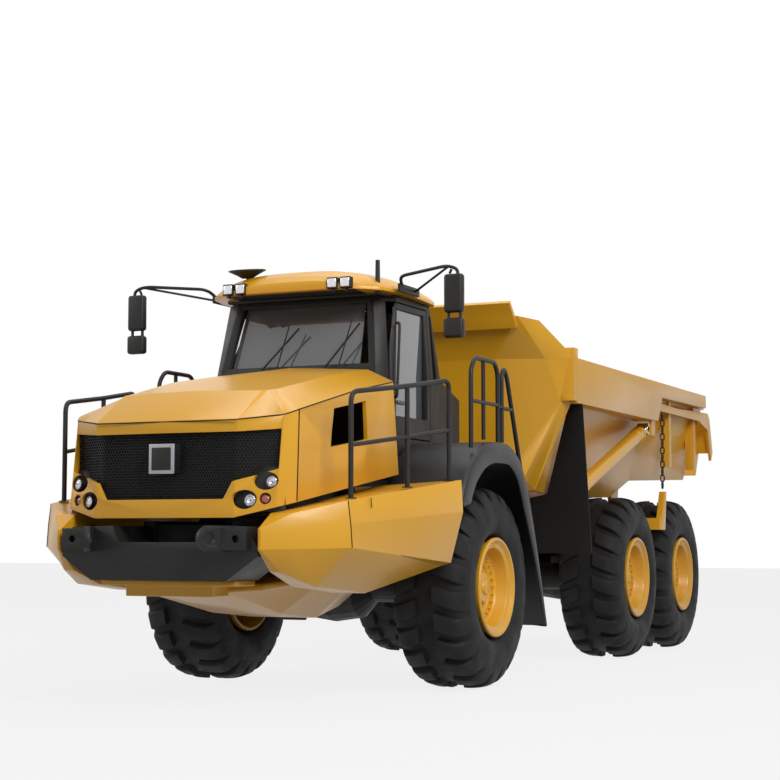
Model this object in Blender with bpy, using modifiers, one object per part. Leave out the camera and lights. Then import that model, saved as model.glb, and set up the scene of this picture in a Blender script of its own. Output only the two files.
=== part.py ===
"""Articulated dump truck, three axles, 41 tonne class, built as separate named pieces.

Units are metres.  The truck faces -Y, its left side is +X, the ground is Z = 0.
Every place below is measured from the front axle: X = 0 is the middle of the truck and
Y = 0 is the front axle.  The empty "truck" then moves the whole model so that Y = 0 of
the world is the middle of its length.
"""
import math

import bmesh
import bpy
from mathutils import Matrix, Vector

# ---------------------------------------------------------------- driving dimensions
FRONT_AXLE_Y = -2.44            # world place of the front axle

MID_AXLE_Y = 4.5                # wheelbase to the second axle
REAR_AXLE_Y = 6.48
TYRE_RADIUS = 0.915
TYRE_WIDTH = 0.75
RIM_RADIUS = 0.408
TRACK = 2.56                    # between the middles of the left and right tyres
WHEEL_SIDES = 28                # facets round a tyre, an even number so that it stands on a corner

HITCH_Y = 1.55                  # steering articulation, a vertical pin
HITCH_Z = 1.2
HITCH_PIN_RADIUS = 0.07
HITCH_HALF_HEIGHT = 0.17        # of the yoke between the two lugs
LUG_THICKNESS = 0.08
ROLL_TUBE_RADIUS = 0.2          # the tube that the rear frame rolls on
STEER_ARM_X = 0.47              # steering cylinders: sideways place
STEER_BASE_Y = 0.25             # where their barrels are pinned
STEER_STROKE = 0.67             # from full left to full right
STEER_DROP = 0.08               # how far they lie below the yoke's middle

FRAME_HALF_WIDTH = 0.42         # to the middle of each side beam
BEAM_WIDTH = 0.12
BEAM_LOW_Z = 1.28               # underside of both frames' beams
FRONT_BEAM_TOP_Z = 1.50
REAR_BEAM_TOP_Z = 1.62
REAR_BEAM_INNER_X = 0.36
REAR_BEAM_OUTER_X = 0.50
REAR_BEAM_END_Y = 7.12          # short of the bed's ribs at full tip

PLATFORM_HALF_WIDTH = 0.90      # the deck that carries the cab
PLATFORM_LOW_Z = 1.87
CAB_HALF_WIDTH = 0.92
CAB_WALL = 0.06
CAB_FLOOR_Z = 1.98
CAB_REAR_Y = 0.42
CAB_ROOF_Z = 3.56               # underside of the roof
DOOR_FRONT_Y = -0.74
DOOR_REAR_Y = 0.12
DOOR_LOW_Z = 2.26               # the sill, level with the walkway
DOOR_THICKNESS = 0.06
ROOF_HALF_WIDTH = 0.95

HOOD_SHEET = 0.035
BUMPER_TOP_Z = 1.33             # between the towers
EYE_X = 0.55                    # middle of each tow eye's hole
EYE_Y = -3.3209
EYE_Z = 1.355
EYE_RADIUS = 0.10
EYE_HOLE_RADIUS = 0.045
EYE_THICKNESS = 0.05
BRACKET_HALF_HEIGHT = 0.085
EYE_LENGTH = 0.34
EYE_TURN = math.radians(30)     # inwards, seen from above
WING_INNER_X = 0.905
WING_OUT_X = 1.70

BED_RAIL_X = 1.65
BED_RAIL_TOP_Z = 3.23
BED_RAIL_LOW_Z = 2.76
BED_FRONT_Y = 2.28              # where the side walls begin
BED_TAIL_Y = 7.85
BED_PIVOT_Y = 6.95
BED_PIVOT_Z = 1.78
BED_PIN_RADIUS = 0.05
BED_EAR_REACH = 0.09            # from the pivot to the ends of the frame's ears, fore and aft
BED_EAR_RISE = 0.05             # from the pivot to their top
BED_LUG_X = 0.575               # middle of the bed's lugs, outside the ears
BED_LUG_THICKNESS = 0.05
FLAP_TOP_Y = 2.44               # rubber flaps ahead of the mid wheels
FLAP_LEAN = 0.17                # how far they lean back for each metre down
FLAP_LOW_Z = 1.20
FLAP_SHEET = 0.02
GATE_PIVOT_Y = 7.72
GATE_PIVOT_Z = 3.14
GATE_ARM_X = 1.552               # middle of the gate's side arms, clear inside the chains
GATE_ARM_THICKNESS = 0.036
GATE_HALF_WIDTH = 1.38

HOIST_X = 1.49
HOIST_BASE = (2.76, 1.87)       # y, z of the lower pin
HOIST_TOP = (5.26, 2.66)        # y, z of the upper pin
HOIST_RADIUS = 0.088
HOIST_BARREL = 2.44             # from the lower pin to the barrel's mouth

CHAIN_X = 1.615
CHAIN_BASE = (5.62, 2.0)        # y, z
CHAIN_TOP = (5.66, 2.96)
CHAIN_RADIUS = 0.03

GLASS_GAP = 0.014               # between the glass wrap and the posts
GAP = 0.0003                    # between pieces that rest on each other
CLEAR = 0.008                   # between pieces that move past each other
RAIL_TUBE = 0.021               # handrail radius
PIN_CLEAR = 0.004               # between a pin and its bore

# ---------------------------------------------------------------- paints
# name: (red, green, blue in linear light, roughness, metallic)
FINISHES = {
    "yellow_paint": (0.74, 0.40, 0.025, 0.38, 0.0),
    "charcoal_paint": (0.035, 0.033, 0.031, 0.55, 0.0),
    "black_rubber": (0.018, 0.018, 0.018, 0.85, 0.0),
    "dark_glass": (0.03, 0.035, 0.04, 0.08, 0.0),
    "grey_steel": (0.22, 0.21, 0.20, 0.45, 0.8),
    "chrome": (0.7, 0.7, 0.7, 0.15, 1.0),
    "seat_fabric": (0.05, 0.05, 0.055, 0.9, 0.0),
}


# ---------------------------------------------------------------- scene and helpers
def clear_scene():
    for old in list(bpy.data.objects):
        bpy.data.objects.remove(old, do_unlink=True)


def collection(name):
    made = bpy.data.collections.new(name)
    bpy.context.scene.collection.children.link(made)
    return made


clear_scene()
PARTS = collection("articulated_dump_truck")
TOOLS = collection("cutters")
PLACES = {}


def empty(name, place, parent=None):
    """An empty at a place given in the truck's own frame."""
    made = bpy.data.objects.new(name, None)
    PARTS.objects.link(made)
    PLACES[name] = Vector(place)
    if parent is None:
        made.location = place
    else:
        made.parent = parent
        made.location = PLACES[name] - PLACES[parent.name]
    return made


TRUCK = empty("truck", (0, FRONT_AXLE_Y, 0))
PLACES["truck"] = Vector((0, 0, 0))


def new_object(name, mesh):
    made = bpy.data.objects.new(name, mesh)
    TOOLS.objects.link(made)
    made.parent = TRUCK
    made.hide_render = True
    made.display_type = "WIRE"
    return made


def finish(made, name, paint, pivot=None, smooth=None):
    """Turn a working object into a part: its name, its paint and what it hangs on."""
    made.name = name
    made.data.name = name
    TOOLS.objects.unlink(made)
    PARTS.objects.link(made)
    made.hide_render = False
    made.display_type = "TEXTURED"
    red, green, blue, roughness, metallic = FINISHES[paint]
    surface = bpy.data.materials.new(name + "_" + paint)
    surface.use_nodes = True
    shader = surface.node_tree.nodes["Principled BSDF"]
    shader.inputs["Base Color"].default_value = (red, green, blue, 1)
    shader.inputs["Roughness"].default_value = roughness
    shader.inputs["Metallic"].default_value = metallic
    made.data.materials.clear()
    made.data.materials.append(surface)
    if smooth:
        made.data.shade_smooth()
        made.data.set_sharp_from_angle(angle=math.radians(smooth))
    if pivot is not None:
        made.parent = pivot
        made.location = Vector(made.location) - PLACES[pivot.name]
    return made


def from_bmesh(name, shape):
    mesh = bpy.data.meshes.new(name)
    bmesh.ops.recalc_face_normals(shape, faces=shape.faces)
    shape.to_mesh(mesh)
    shape.free()
    return new_object(name, mesh)


def box(low, high, turn=None):
    """A box between two corners, turned about its own middle if asked."""
    low = Vector(low)
    high = Vector(high)
    shape = bmesh.new()
    bmesh.ops.create_cube(shape, size=1)
    bmesh.ops.scale(shape, vec=high - low, verts=shape.verts)
    if turn is not None:
        bmesh.ops.rotate(shape, matrix=turn, verts=shape.verts)
    bmesh.ops.translate(shape, vec=(low + high) / 2, verts=shape.verts)
    return from_bmesh("box", shape)


def rod(start, end, radius, sides=20, radius_end=None):
    """A round bar between two points."""
    start = Vector(start)
    end = Vector(end)
    shape = bmesh.new()
    bmesh.ops.create_cone(shape, cap_ends=True, segments=sides, radius1=radius,
                          radius2=radius if radius_end is None else radius_end,
                          depth=(end - start).length)
    turn = (end - start).to_track_quat("Z", "Y").to_matrix()
    bmesh.ops.rotate(shape, matrix=turn, verts=shape.verts)
    bmesh.ops.translate(shape, vec=(start + end) / 2, verts=shape.verts)
    return from_bmesh("rod", shape)


def to_mesh(curve_object):
    """Make a curve a mesh with its caps welded, and remove the curve."""
    evaluated = curve_object.evaluated_get(bpy.context.evaluated_depsgraph_get())
    mesh = bpy.data.meshes.new_from_object(evaluated)
    shape = bmesh.new()
    shape.from_mesh(mesh)
    bmesh.ops.remove_doubles(shape, verts=shape.verts, dist=0.00005)
    shape.to_mesh(mesh)
    shape.free()
    made = new_object("curve_mesh", mesh)
    made.matrix_local = curve_object.matrix_local
    bpy.data.objects.remove(curve_object, do_unlink=True)
    return made


def tube(points, radius=RAIL_TUBE, resolution=1):
    """A bent tube through points, with filled ends."""
    curve = bpy.data.curves.new("tube", "CURVE")
    curve.dimensions = "3D"
    curve.bevel_depth = radius
    curve.bevel_resolution = resolution
    curve.use_fill_caps = True
    line = curve.splines.new("POLY")
    line.points.add(len(points) - 1)
    for point, place in zip(line.points, points):
        point.co = (*place, 1)
    made = bpy.data.objects.new("tube", curve)
    TOOLS.objects.link(made)
    made.parent = TRUCK
    bpy.context.view_layer.update()
    return to_mesh(made)


def plate(outline, low, high, plane="YZ"):
    """A flat outline given thickness: YZ outlines run along X, XY along Z, XZ along Y."""
    curve = bpy.data.curves.new("plate", "CURVE")
    curve.dimensions = "2D"
    curve.fill_mode = "BOTH"
    curve.extrude = (high - low) / 2
    line = curve.splines.new("POLY")
    line.points.add(len(outline) - 1)
    line.use_cyclic_u = True
    for point, (first, second) in zip(line.points, outline):
        point.co = (first, second, 0, 1)
    made = bpy.data.objects.new("plate", curve)
    TOOLS.objects.link(made)
    made.parent = TRUCK
    middle = (low + high) / 2
    columns = {
        "YZ": ((0, 0, 1, middle), (1, 0, 0, 0), (0, 1, 0, 0), (0, 0, 0, 1)),
        "XY": ((1, 0, 0, 0), (0, 1, 0, 0), (0, 0, 1, middle), (0, 0, 0, 1)),
        "XZ": ((1, 0, 0, 0), (0, 0, -1, middle), (0, 1, 0, 0), (0, 0, 0, 1)),
    }
    made.matrix_local = Matrix(columns[plane])
    bpy.context.view_layer.update()
    return to_mesh(made)


def sheet(rows, mirror=True):
    """A net of quads through rows of points, one row after another."""
    shape = bmesh.new()
    lines = []
    for row in rows:
        lines.append([shape.verts.new(point) for point in row])
    for first, second in zip(lines, lines[1:]):
        for index in range(len(first) - 1):
            shape.faces.new((first[index], first[index + 1], second[index + 1], second[index]))
    bmesh.ops.remove_doubles(shape, verts=shape.verts, dist=0.00005)
    mesh = bpy.data.meshes.new("sheet")
    shape.to_mesh(mesh)
    shape.free()
    made = new_object("sheet", mesh)
    if mirror:
        half = made.modifiers.new("mirror", "MIRROR")
        half.use_axis = (True, False, False)
        half.merge_threshold = 0.0001
    return made


def loft(rings):
    """A closed solid through rings of points, each ring the mirror of itself in X.

    A ring lists its right half from the lowest point to the highest.  The two end rings are
    closed by strips from side to side, so that bent ends stay true."""
    shape = bmesh.new()
    halves = []
    for ring in rings:
        left = [shape.verts.new(point) for point in ring]
        right = [shape.verts.new((-x, y, z)) for x, y, z in ring]
        halves.append((left, right))
    count = len(rings[0])
    for (left_a, right_a), (left_b, right_b) in zip(halves, halves[1:]):
        for i in range(count - 1):
            shape.faces.new((left_a[i], left_a[i + 1], left_b[i + 1], left_b[i]))
            shape.faces.new((right_a[i + 1], right_a[i], right_b[i], right_b[i + 1]))
        shape.faces.new((right_a[0], left_a[0], left_b[0], right_b[0]))
        shape.faces.new((left_a[-1], right_a[-1], right_b[-1], left_b[-1]))
    for left, right in (halves[0], halves[-1]):
        for i in range(count - 1):
            shape.faces.new((left[i], left[i + 1], right[i + 1], right[i]))
    return from_bmesh("loft", shape)


def solid_loft(rings):
    """A closed solid through full rings of points, with flat ends."""
    shape = bmesh.new()
    lines = [[shape.verts.new(point) for point in ring] for ring in rings]
    count = len(rings[0])
    for first, second in zip(lines, lines[1:]):
        for i in range(count):
            j = (i + 1) % count
            shape.faces.new((first[i], first[j], second[j], second[i]))
    shape.faces.new(lines[0])
    shape.faces.new(lines[-1])
    return from_bmesh("solid_loft", shape)


def unite(base, *others):
    for other in others:
        union = base.modifiers.new("join", "BOOLEAN")
        union.operation = "UNION"
        union.solver = "EXACT"
        union.object = other
    return base


def cut(base, *others):
    for other in others:
        hole = base.modifiers.new("cut", "BOOLEAN")
        hole.operation = "DIFFERENCE"
        hole.solver = "EXACT"
        hole.object = other
    return base


def flip(points):
    """The same points on the other side of the truck."""
    return [(-x, y, z) for x, y, z in points]


def spun_x(profile, centre, sides, name="spun"):
    """Turn a profile of (along X, radius) about an axis along X through a centre."""
    mesh = bpy.data.meshes.new(name)
    mesh.from_pydata([(along, 0, radius) for along, radius in profile],
                     [(i, i + 1) for i in range(len(profile) - 1)], [])
    made = new_object(name, mesh)
    made.location = centre
    turn = made.modifiers.new("turn", "SCREW")
    turn.axis = "X"
    turn.steps = sides
    turn.render_steps = sides
    turn.use_merge_vertices = True
    turn.merge_threshold = 0.0001
    turn.use_normal_calculate = True
    return made


# ---------------------------------------------------------------- joints' empties
STEER = empty("pivot_steer_articulation", (0, HITCH_Y, HITCH_Z), TRUCK)
ROLL = empty("pivot_frame_oscillation", (0, HITCH_Y, HITCH_Z), STEER)
BED = empty("pivot_bed_tip", (0, BED_PIVOT_Y, BED_PIVOT_Z), ROLL)
GATE = empty("pivot_tailgate", (0, GATE_PIVOT_Y, GATE_PIVOT_Z), BED)
HOOD = empty("pivot_hood", (0, -3.10, 1.58), TRUCK)
DOOR = empty("pivot_cab_door", (CAB_HALF_WIDTH, DOOR_REAR_Y, 2.7), TRUCK)


# ---------------------------------------------------------------- wheels
def wheel(name, side, axle_y, parent):
    """A tyre on its rim: a turned solid, open at the disc's dished outer face."""
    middle = side * TRACK / 2
    pivot = empty("pivot_" + name, (middle, axle_y, TYRE_RADIUS), parent)
    half = TYRE_WIDTH / 2
    # along the axle from the middle, radius; outwards is positive before the side is set
    outline = [
        (0.02, 0.0001), (0.02, 0.10), (0.05, 0.30), (half - 0.07, RIM_RADIUS - 0.05),
        (half - 0.03, RIM_RADIUS - 0.03), (half - 0.03, RIM_RADIUS + 0.02),
        (half, RIM_RADIUS + 0.16), (half, TYRE_RADIUS - 0.17),
        (half - 0.045, TYRE_RADIUS - 0.05), (half - 0.12, TYRE_RADIUS),
        (0.12 - half, TYRE_RADIUS), (0.045 - half, TYRE_RADIUS - 0.05),
        (-half, TYRE_RADIUS - 0.17), (-half, RIM_RADIUS + 0.16),
        (0.03 - half, RIM_RADIUS + 0.02), (0.03 - half, RIM_RADIUS - 0.03),
        (-0.10, 0.33), (-0.10, 0.0001),
    ]
    profile = [(side * along, radius) for along, radius in outline]
    if side < 0:
        profile.reverse()
    profile = [(along, 0 if radius < 0.001 else radius) for along, radius in profile]
    made = spun_x(profile, (middle, axle_y, TYRE_RADIUS), WHEEL_SIDES)
    return finish(made, name, "black_rubber", pivot, smooth=35)


SIDES = (("left", 1), ("right", -1))
for side_name, side in SIDES:
    wheel("wheel_front_" + side_name, side, 0, TRUCK)
    wheel("wheel_mid_" + side_name, side, MID_AXLE_Y, ROLL)
    wheel("wheel_rear_" + side_name, side, REAR_AXLE_Y, ROLL)


# ---------------------------------------------------------------- front frame and axle
def axle(name, y, parent):
    """A tube between the wheels with a round differential case and stepped hubs."""
    reach = TRACK / 2 - 0.10 - CLEAR
    profile = [
        (-reach, 0), (-reach, 0.26), (-reach + 0.20, 0.26), (-reach + 0.26, 0.15),
        (-0.42, 0.15), (-0.28, 0.30), (0, 0.34), (0.28, 0.30), (0.42, 0.15),
        (reach - 0.26, 0.15), (reach - 0.20, 0.26), (reach, 0.26), (reach, 0),
    ]
    profile.reverse()
    made = spun_x(profile, (0, y, TYRE_RADIUS), 20)
    return finish(made, name, "yellow_paint" if parent is None else "charcoal_paint", parent, 35)


def front_frame():
    """Two beams with a head that holds the hitch pin, posts under the platform, cylinder lugs."""
    top = FRONT_BEAM_TOP_Z
    low = BEAM_LOW_Z
    parts = []
    for _, side in SIDES:
        inner = side * (FRAME_HALF_WIDTH - BEAM_WIDTH / 2)
        outer = side * (FRAME_HALF_WIDTH + BEAM_WIDTH / 2)
        parts.append(box((min(inner, outer), -2.62, low), (max(inner, outer), 1.16, top)))
    head = box((-0.38, 0.98, 0.86), (0.38, 1.12, 1.62))
    lug_low = HITCH_Z - HITCH_HALF_HEIGHT - LUG_THICKNESS - CLEAR
    lug_high = HITCH_Z + HITCH_HALF_HEIGHT + CLEAR
    lugs = []
    for start in (lug_low, lug_high):
        lug = plate([(-0.30, 1.05), (0.30, 1.05), (0.20, 1.60), (0.10, 1.70), (-0.10, 1.70),
                     (-0.20, 1.60)], start, start + LUG_THICKNESS, "XY")
        lugs.append(lug)
    crosses = [box((-0.44, y, low + 0.03), (0.44, y + 0.16, top - 0.03)) for y in (-2.6, -0.95, 0.52)]
    posts = []
    for _, side in SIDES:
        for y in (-0.70, 0.86):
            inner, outer = sorted((side * (FRAME_HALF_WIDTH - 0.05), side * (FRAME_HALF_WIDTH + 0.05)))
            posts.append(box((inner, y, top - 0.02), (outer, y + 0.12, PLATFORM_LOW_Z - GAP)))
    steer_lugs = []
    for _, side in SIDES:
        x = side * STEER_ARM_X
        steer_lugs.append(box((x - 0.13, STEER_BASE_Y - 0.10, 1.14), (x + 0.13, STEER_BASE_Y + 0.08, 1.30)))
    made = unite(parts[0], parts[1], head, *lugs, *crosses, *posts, *steer_lugs)
    bore = rod((0, HITCH_Y, 0.6), (0, HITCH_Y, 1.8), HITCH_PIN_RADIUS + PIN_CLEAR, 24)
    cut(made, bore)
    finish(made, "front_frame", "charcoal_paint")
    deck = box((-PLATFORM_HALF_WIDTH, -0.74, PLATFORM_LOW_Z), (PLATFORM_HALF_WIDTH, 1.02, CAB_FLOOR_Z - GAP))
    finish(deck, "cab_platform", "charcoal_paint")


def engine():
    block = box((-0.33, -2.40, 1.54), (0.33, -1.02, 2.30))
    cover = box((-0.22, -2.30, 2.25), (0.22, -1.15, 2.42))
    fan = rod((0, -2.62, 1.95), (0, -2.38, 1.95), 0.34, 24)
    finish(unite(block, cover, fan), "engine_block", "grey_steel")


def belly_pan():
    """The folded yellow guard that shows under the nose, between the wheels."""
    rings = []
    # y, half width at the top, top z, half width of the keel, keel z
    for y, wide, top, keel, low in ((-2.55, 0.62, 1.00, 0.30, 0.92), (-1.75, 0.74, 1.06, 0.34, 0.72),
                                    (-1.10, 0.74, 1.06, 0.34, 0.66), (-0.52, 0.60, 1.06, 0.28, 0.74)):
        rings.append([(keel, y, low), (wide, y, top - 0.06), (wide, y, top)])
    finish(loft(rings), "belly_pan", "yellow_paint")


front_frame()
engine()
belly_pan()
axle("front_axle", 0, TRUCK)


# ---------------------------------------------------------------- bumper and tow eyes
def tow_eye(side):
    """A cast plate with a ringed hole, turned inwards in plan."""
    root = EYE_LENGTH - EYE_RADIUS
    outline = [(root, -EYE_RADIUS), (0, -EYE_RADIUS)]
    for step in range(1, 8):
        turn = math.pi / 2 * (1 + step / 4)
        outline.append((EYE_RADIUS * math.cos(turn), EYE_RADIUS * -math.sin(turn)))
    outline += [(0, EYE_RADIUS), (root, EYE_RADIUS)]
    made = plate(outline, -EYE_THICKNESS / 2, EYE_THICKNESS / 2)
    hole = rod((-EYE_THICKNESS, 0, 0), (EYE_THICKNESS, 0, 0), EYE_HOLE_RADIUS, 18)
    place = Matrix.Translation((side * EYE_X, EYE_Y, EYE_Z)) @ Matrix.Rotation(-side * EYE_TURN, 4, "Z")
    bpy.context.view_layer.update()
    for piece in (made, hole):
        piece.matrix_local = place @ piece.matrix_local
    return cut(made, hole)


def bumper():
    """A dark beam across the nose, lower between two towers that hold the tow eyes."""
    made = plate([(-0.895, 1.29), (-0.80, 1.45), (-0.42, 1.46), (-0.36, BUMPER_TOP_Z), (0.36, BUMPER_TOP_Z),
                  (0.42, 1.46), (0.80, 1.45), (0.895, 1.29), (0.895, 1.22), (0.62, 1.03), (-0.62, 1.03),
                  (-0.895, 1.22)], -3.17, -2.66, "XZ")
    for _, side in SIDES:
        low, high = sorted((side * 0.60, side * 0.84))
        bracket = box((low, -3.255, EYE_Z - BRACKET_HALF_HEIGHT), (high, -3.14, EYE_Z + BRACKET_HALF_HEIGHT))
        cut(bracket, rod((side * 0.745, -3.4, EYE_Z), (side * 0.745, -3.20, EYE_Z), 0.03, 14))
        unite(made, unite(bracket, tow_eye(side)))
    finish(made, "bumper", "charcoal_paint")
    chin = box((-0.62, -3.02, 0.985), (0.62, -2.70, 1.03 - GAP))
    skid = box((-0.40, -3.00, 0.90), (0.40, -2.74, 1.00))
    finish(unite(chin, skid), "bumper_chin", "yellow_paint")


bumper()


# ---------------------------------------------------------------- hood
# half of the shell: bottom edge, shoulder, top crease and middle line of each column
HOOD_COLUMNS = (
    # bottom, shoulder, crease, middle
    ((0.64, -3.10, 1.52), (0.655, -3.065, 2.29), (0.648, -2.67, 2.54), (0, -2.70, 2.555)),
    ((0.955, -2.99, 1.60), (0.965, -2.88, 2.33), (0.67, -2.60, 2.55), (0, -2.62, 2.57)),
    ((1.03, -2.80, 1.64), (1.027, -2.75, 2.377), (0.70, -2.50, 2.565), (0, -2.50, 2.595)),
    ((1.06, -1.75, 1.80), (1.025, -1.75, 2.60), (0.76, -1.75, 2.73), (0, -1.75, 2.775)),
    ((1.06, -0.92, 1.92), (0.98, -0.86, 2.75), (0.76, -0.92, 2.86), (0, -0.96, 2.90)),
)
# oval lamp recesses on the left of the nose: middle x, z, half width, half height
HOOD_LAMP_HOLES = (
    (0.862, 1.805, 0.098, 0.072),
    (0.712, 1.660, 0.095, 0.075),
    (0.868, 1.667, 0.046, 0.046),
)
HOOD_FRONT = ((0, -3.12, 1.52), (0, -3.085, 2.29), (0, -2.70, 2.555))


def hood():
    rows = list(zip(*HOOD_COLUMNS))
    shell = sheet(rows)
    first = HOOD_COLUMNS[0]
    shape = bmesh.new()
    shape.from_mesh(shell.data)
    low, middle, top = [shape.verts.new(point) for point in HOOD_FRONT]
    corner = [shape.verts.new(point) for point in first[:3]]
    shape.faces.new((low, corner[0], corner[1], middle))
    shape.faces.new((middle, corner[1], corner[2], top))
    bmesh.ops.remove_doubles(shape, verts=shape.verts, dist=0.00005)
    bmesh.ops.recalc_face_normals(shape, faces=shape.faces)
    outward = sum((face.normal.x * face.calc_center_median().x for face in shape.faces))
    if outward < 0:
        bmesh.ops.reverse_faces(shape, faces=shape.faces)
    shape.to_mesh(shell.data)
    shape.free()
    wall = shell.modifiers.new("wall", "SOLIDIFY")
    wall.thickness = HOOD_SHEET
    wall.offset = -1
    wall.use_even_offset = True
    opening = plate([(-0.955, 1.90), (-0.955, 2.215), (-0.655, 2.19), (0.655, 2.19),
                     (0.955, 2.215), (0.955, 1.90), (0.62, 1.80), (0.545, 1.665),
                     (-0.545, 1.665), (-0.62, 1.80)], -3.4, -2.82, "XZ")
    vent = plate([(-2.20, 2.10), (-2.13, 2.42), (-1.50, 2.53), (-1.50, 2.20)], -1.3, 1.3)
    holes = []
    for _, side in SIDES:
        for x, z, wide, tall in HOOD_LAMP_HOLES:
            outline = []
            for step in range(20):
                turn = math.tau * step / 20
                outline.append((side * (x + wide * math.cos(turn)), z + tall * math.sin(turn)))
            holes.append(plate(outline, -3.3, -2.84, "XZ"))
    cut(shell, opening, vent, *holes)
    finish(shell, "hood", "yellow_paint", HOOD)


def grille():
    """The dark mesh behind the hood's mouth: a folded plate and the two side vents' backs."""
    set_back = 0.045
    side = (0.93, -2.895 + set_back)
    front = (0.62, -3.055 + set_back)
    outline = [(-side[0], side[1]), (-front[0], front[1]), (front[0], front[1]), side,
               (side[0] - 0.02, side[1] + 0.04), (front[0], front[1] + 0.04),
               (-front[0], front[1] + 0.04), (-side[0] + 0.02, side[1] + 0.04)]
    made = plate(outline, 1.64, 2.235, "XY")
    badge = box((-0.115, -3.12, 1.87), (0.115, -3.00, 2.10))
    finish(unite(made, badge), "grille", "charcoal_paint", HOOD)


hood()
grille()


# ---------------------------------------------------------------- wings and fenders
def wing(side_name, side):
    """The faceted yellow bodywork beside the nose, from the bumper's corner to the arch."""
    # y, low z and top z of the inner wall; then x, z of the belt's top, its bend, its low crease, the keel
    stations = (
        (-3.19, 1.27, 1.43, (0.93, 1.43), (0.932, 1.35), (0.93, 1.275), (0.915, 1.265)),
        (-2.99, 1.10, 1.553, (1.10, 1.553), (1.118, 1.42), (1.13, 1.278), (1.00, 1.10)),
        (-2.63, 0.98, 1.60, (1.40, 1.655), (1.422, 1.47), (1.435, 1.286), (1.12, 0.98)),
        (-1.90, 0.91, 1.70, (1.536, 1.748), (1.556, 1.522), (1.51, 1.224), (1.20, 0.91)),
        (-1.02, 1.02, 1.82, (WING_OUT_X, 1.86), (WING_OUT_X + 0.015, 1.585), (1.60, 1.15), (1.50, 1.12)),
    )
    rings = []
    for y, low, top, *belt in stations:
        ring = [(WING_INNER_X, y, low), (WING_INNER_X, y, top)]
        ring += [(x, y, z) for x, z in belt]
        rings.append(ring if side > 0 else flip(ring))
    finish(solid_loft(rings), "wing_" + side_name, "yellow_paint")


def fender(side_name, side):
    """The black arch over the front wheel, its walkway on top and its flap behind."""
    outer = [(-1.00, 1.66), (-0.80, 1.98), (-0.52, 2.17), (-0.25, 2.235), (0.22, 2.235),
             (0.50, 2.09), (0.70, 1.80), (0.98, 1.15), (1.20, 0.52)]
    inner = [(1.165, 0.52), (0.945, 1.14), (0.66, 1.77), (0.47, 2.04), (0.20, 2.18),
             (-0.24, 2.18), (-0.49, 2.115), (-0.75, 1.94), (-0.93, 1.64)]
    low, high = sorted((side * 0.93, side * WING_OUT_X))
    made = plate(outer + inner, low, high)
    foot_low, foot_high = sorted((side * (PLATFORM_HALF_WIDTH + GAP), side * 0.99))
    unite(made, box((foot_low, -0.45, PLATFORM_LOW_Z + 0.01), (foot_high, 0.30, CAB_FLOOR_Z - 0.02)))
    inner_low, inner_high = sorted((side * (CAB_HALF_WIDTH + 0.01), side * 1.0))
    unite(made, box((inner_low, -0.44, PLATFORM_LOW_Z + 0.02), (inner_high, 0.29, 2.20)))
    finish(made, "fender_" + side_name, "charcoal_paint")


for side_name, side in SIDES:
    wing(side_name, side)
    fender(side_name, side)


# ---------------------------------------------------------------- cab
# y of the front and rear faces at the foot of the windows and at the roof
WINDOW_FOOT_Z = 2.86
CAB_FRONT_LOW_Y = -0.84
CAB_FRONT_TOP_Y = -0.68
CAB_REAR_TOP_Y = 0.27


def cab_ring(z, grow=0.0):
    """The cab's plan outline at a height, grown outwards or inwards."""
    share = max(0.0, (z - WINDOW_FOOT_Z) / (CAB_ROOF_Z - WINDOW_FOOT_Z))
    front = CAB_FRONT_LOW_Y + share * (CAB_FRONT_TOP_Y - CAB_FRONT_LOW_Y) - grow
    rear = CAB_REAR_Y + share * (CAB_REAR_TOP_Y - CAB_REAR_Y) + grow
    wide = CAB_HALF_WIDTH - 0.05 * share + grow
    nose = 0.80 - 0.10 * share + grow
    return [(-nose, front, z), (nose, front, z), (wide, front + 0.14, z), (wide, rear - 0.06, z),
            (wide - 0.08, rear, z), (0.08 - wide, rear, z), (-wide, rear - 0.06, z), (-wide, front + 0.14, z)]


def cab():
    levels = (CAB_FLOOR_Z, WINDOW_FOOT_Z, CAB_ROOF_Z - GAP)
    shell = solid_loft([cab_ring(z) for z in levels])
    heights = (CAB_FLOOR_Z + CAB_WALL, WINDOW_FOOT_Z, CAB_ROOF_Z + 0.3)
    room = solid_loft([cab_ring(z, -CAB_WALL) for z in heights])
    cut(shell, room)
    screen = plate([(-0.72, 2.93), (0.72, 2.93), (0.64, 3.50), (-0.64, 3.50)], -1.2, -0.55, "XZ")
    back = plate([(-0.70, 2.75), (0.70, 2.75), (0.66, 3.48), (-0.66, 3.48)], 0.10, 0.8, "XZ")
    right = plate([(-0.60, 2.80), (-0.52, 3.48), (0.10, 3.48), (0.20, 2.80)], -1.2, -0.6)
    quarter = plate([(0.19, 2.82), (0.185, 3.46), (0.215, 3.46), (0.28, 2.82)], 0.6, 1.2)
    doorway = plate([(DOOR_FRONT_Y, DOOR_LOW_Z), (DOOR_FRONT_Y, 2.86),
                     (DOOR_FRONT_Y + 0.12, CAB_ROOF_Z - 0.05), (DOOR_REAR_Y, CAB_ROOF_Z - 0.05),
                     (DOOR_REAR_Y, DOOR_LOW_Z)], 0.6, 1.2)
    cut(shell, screen, back, right, quarter, doorway)
    finish(shell, "cab_shell", "charcoal_paint")


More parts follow.
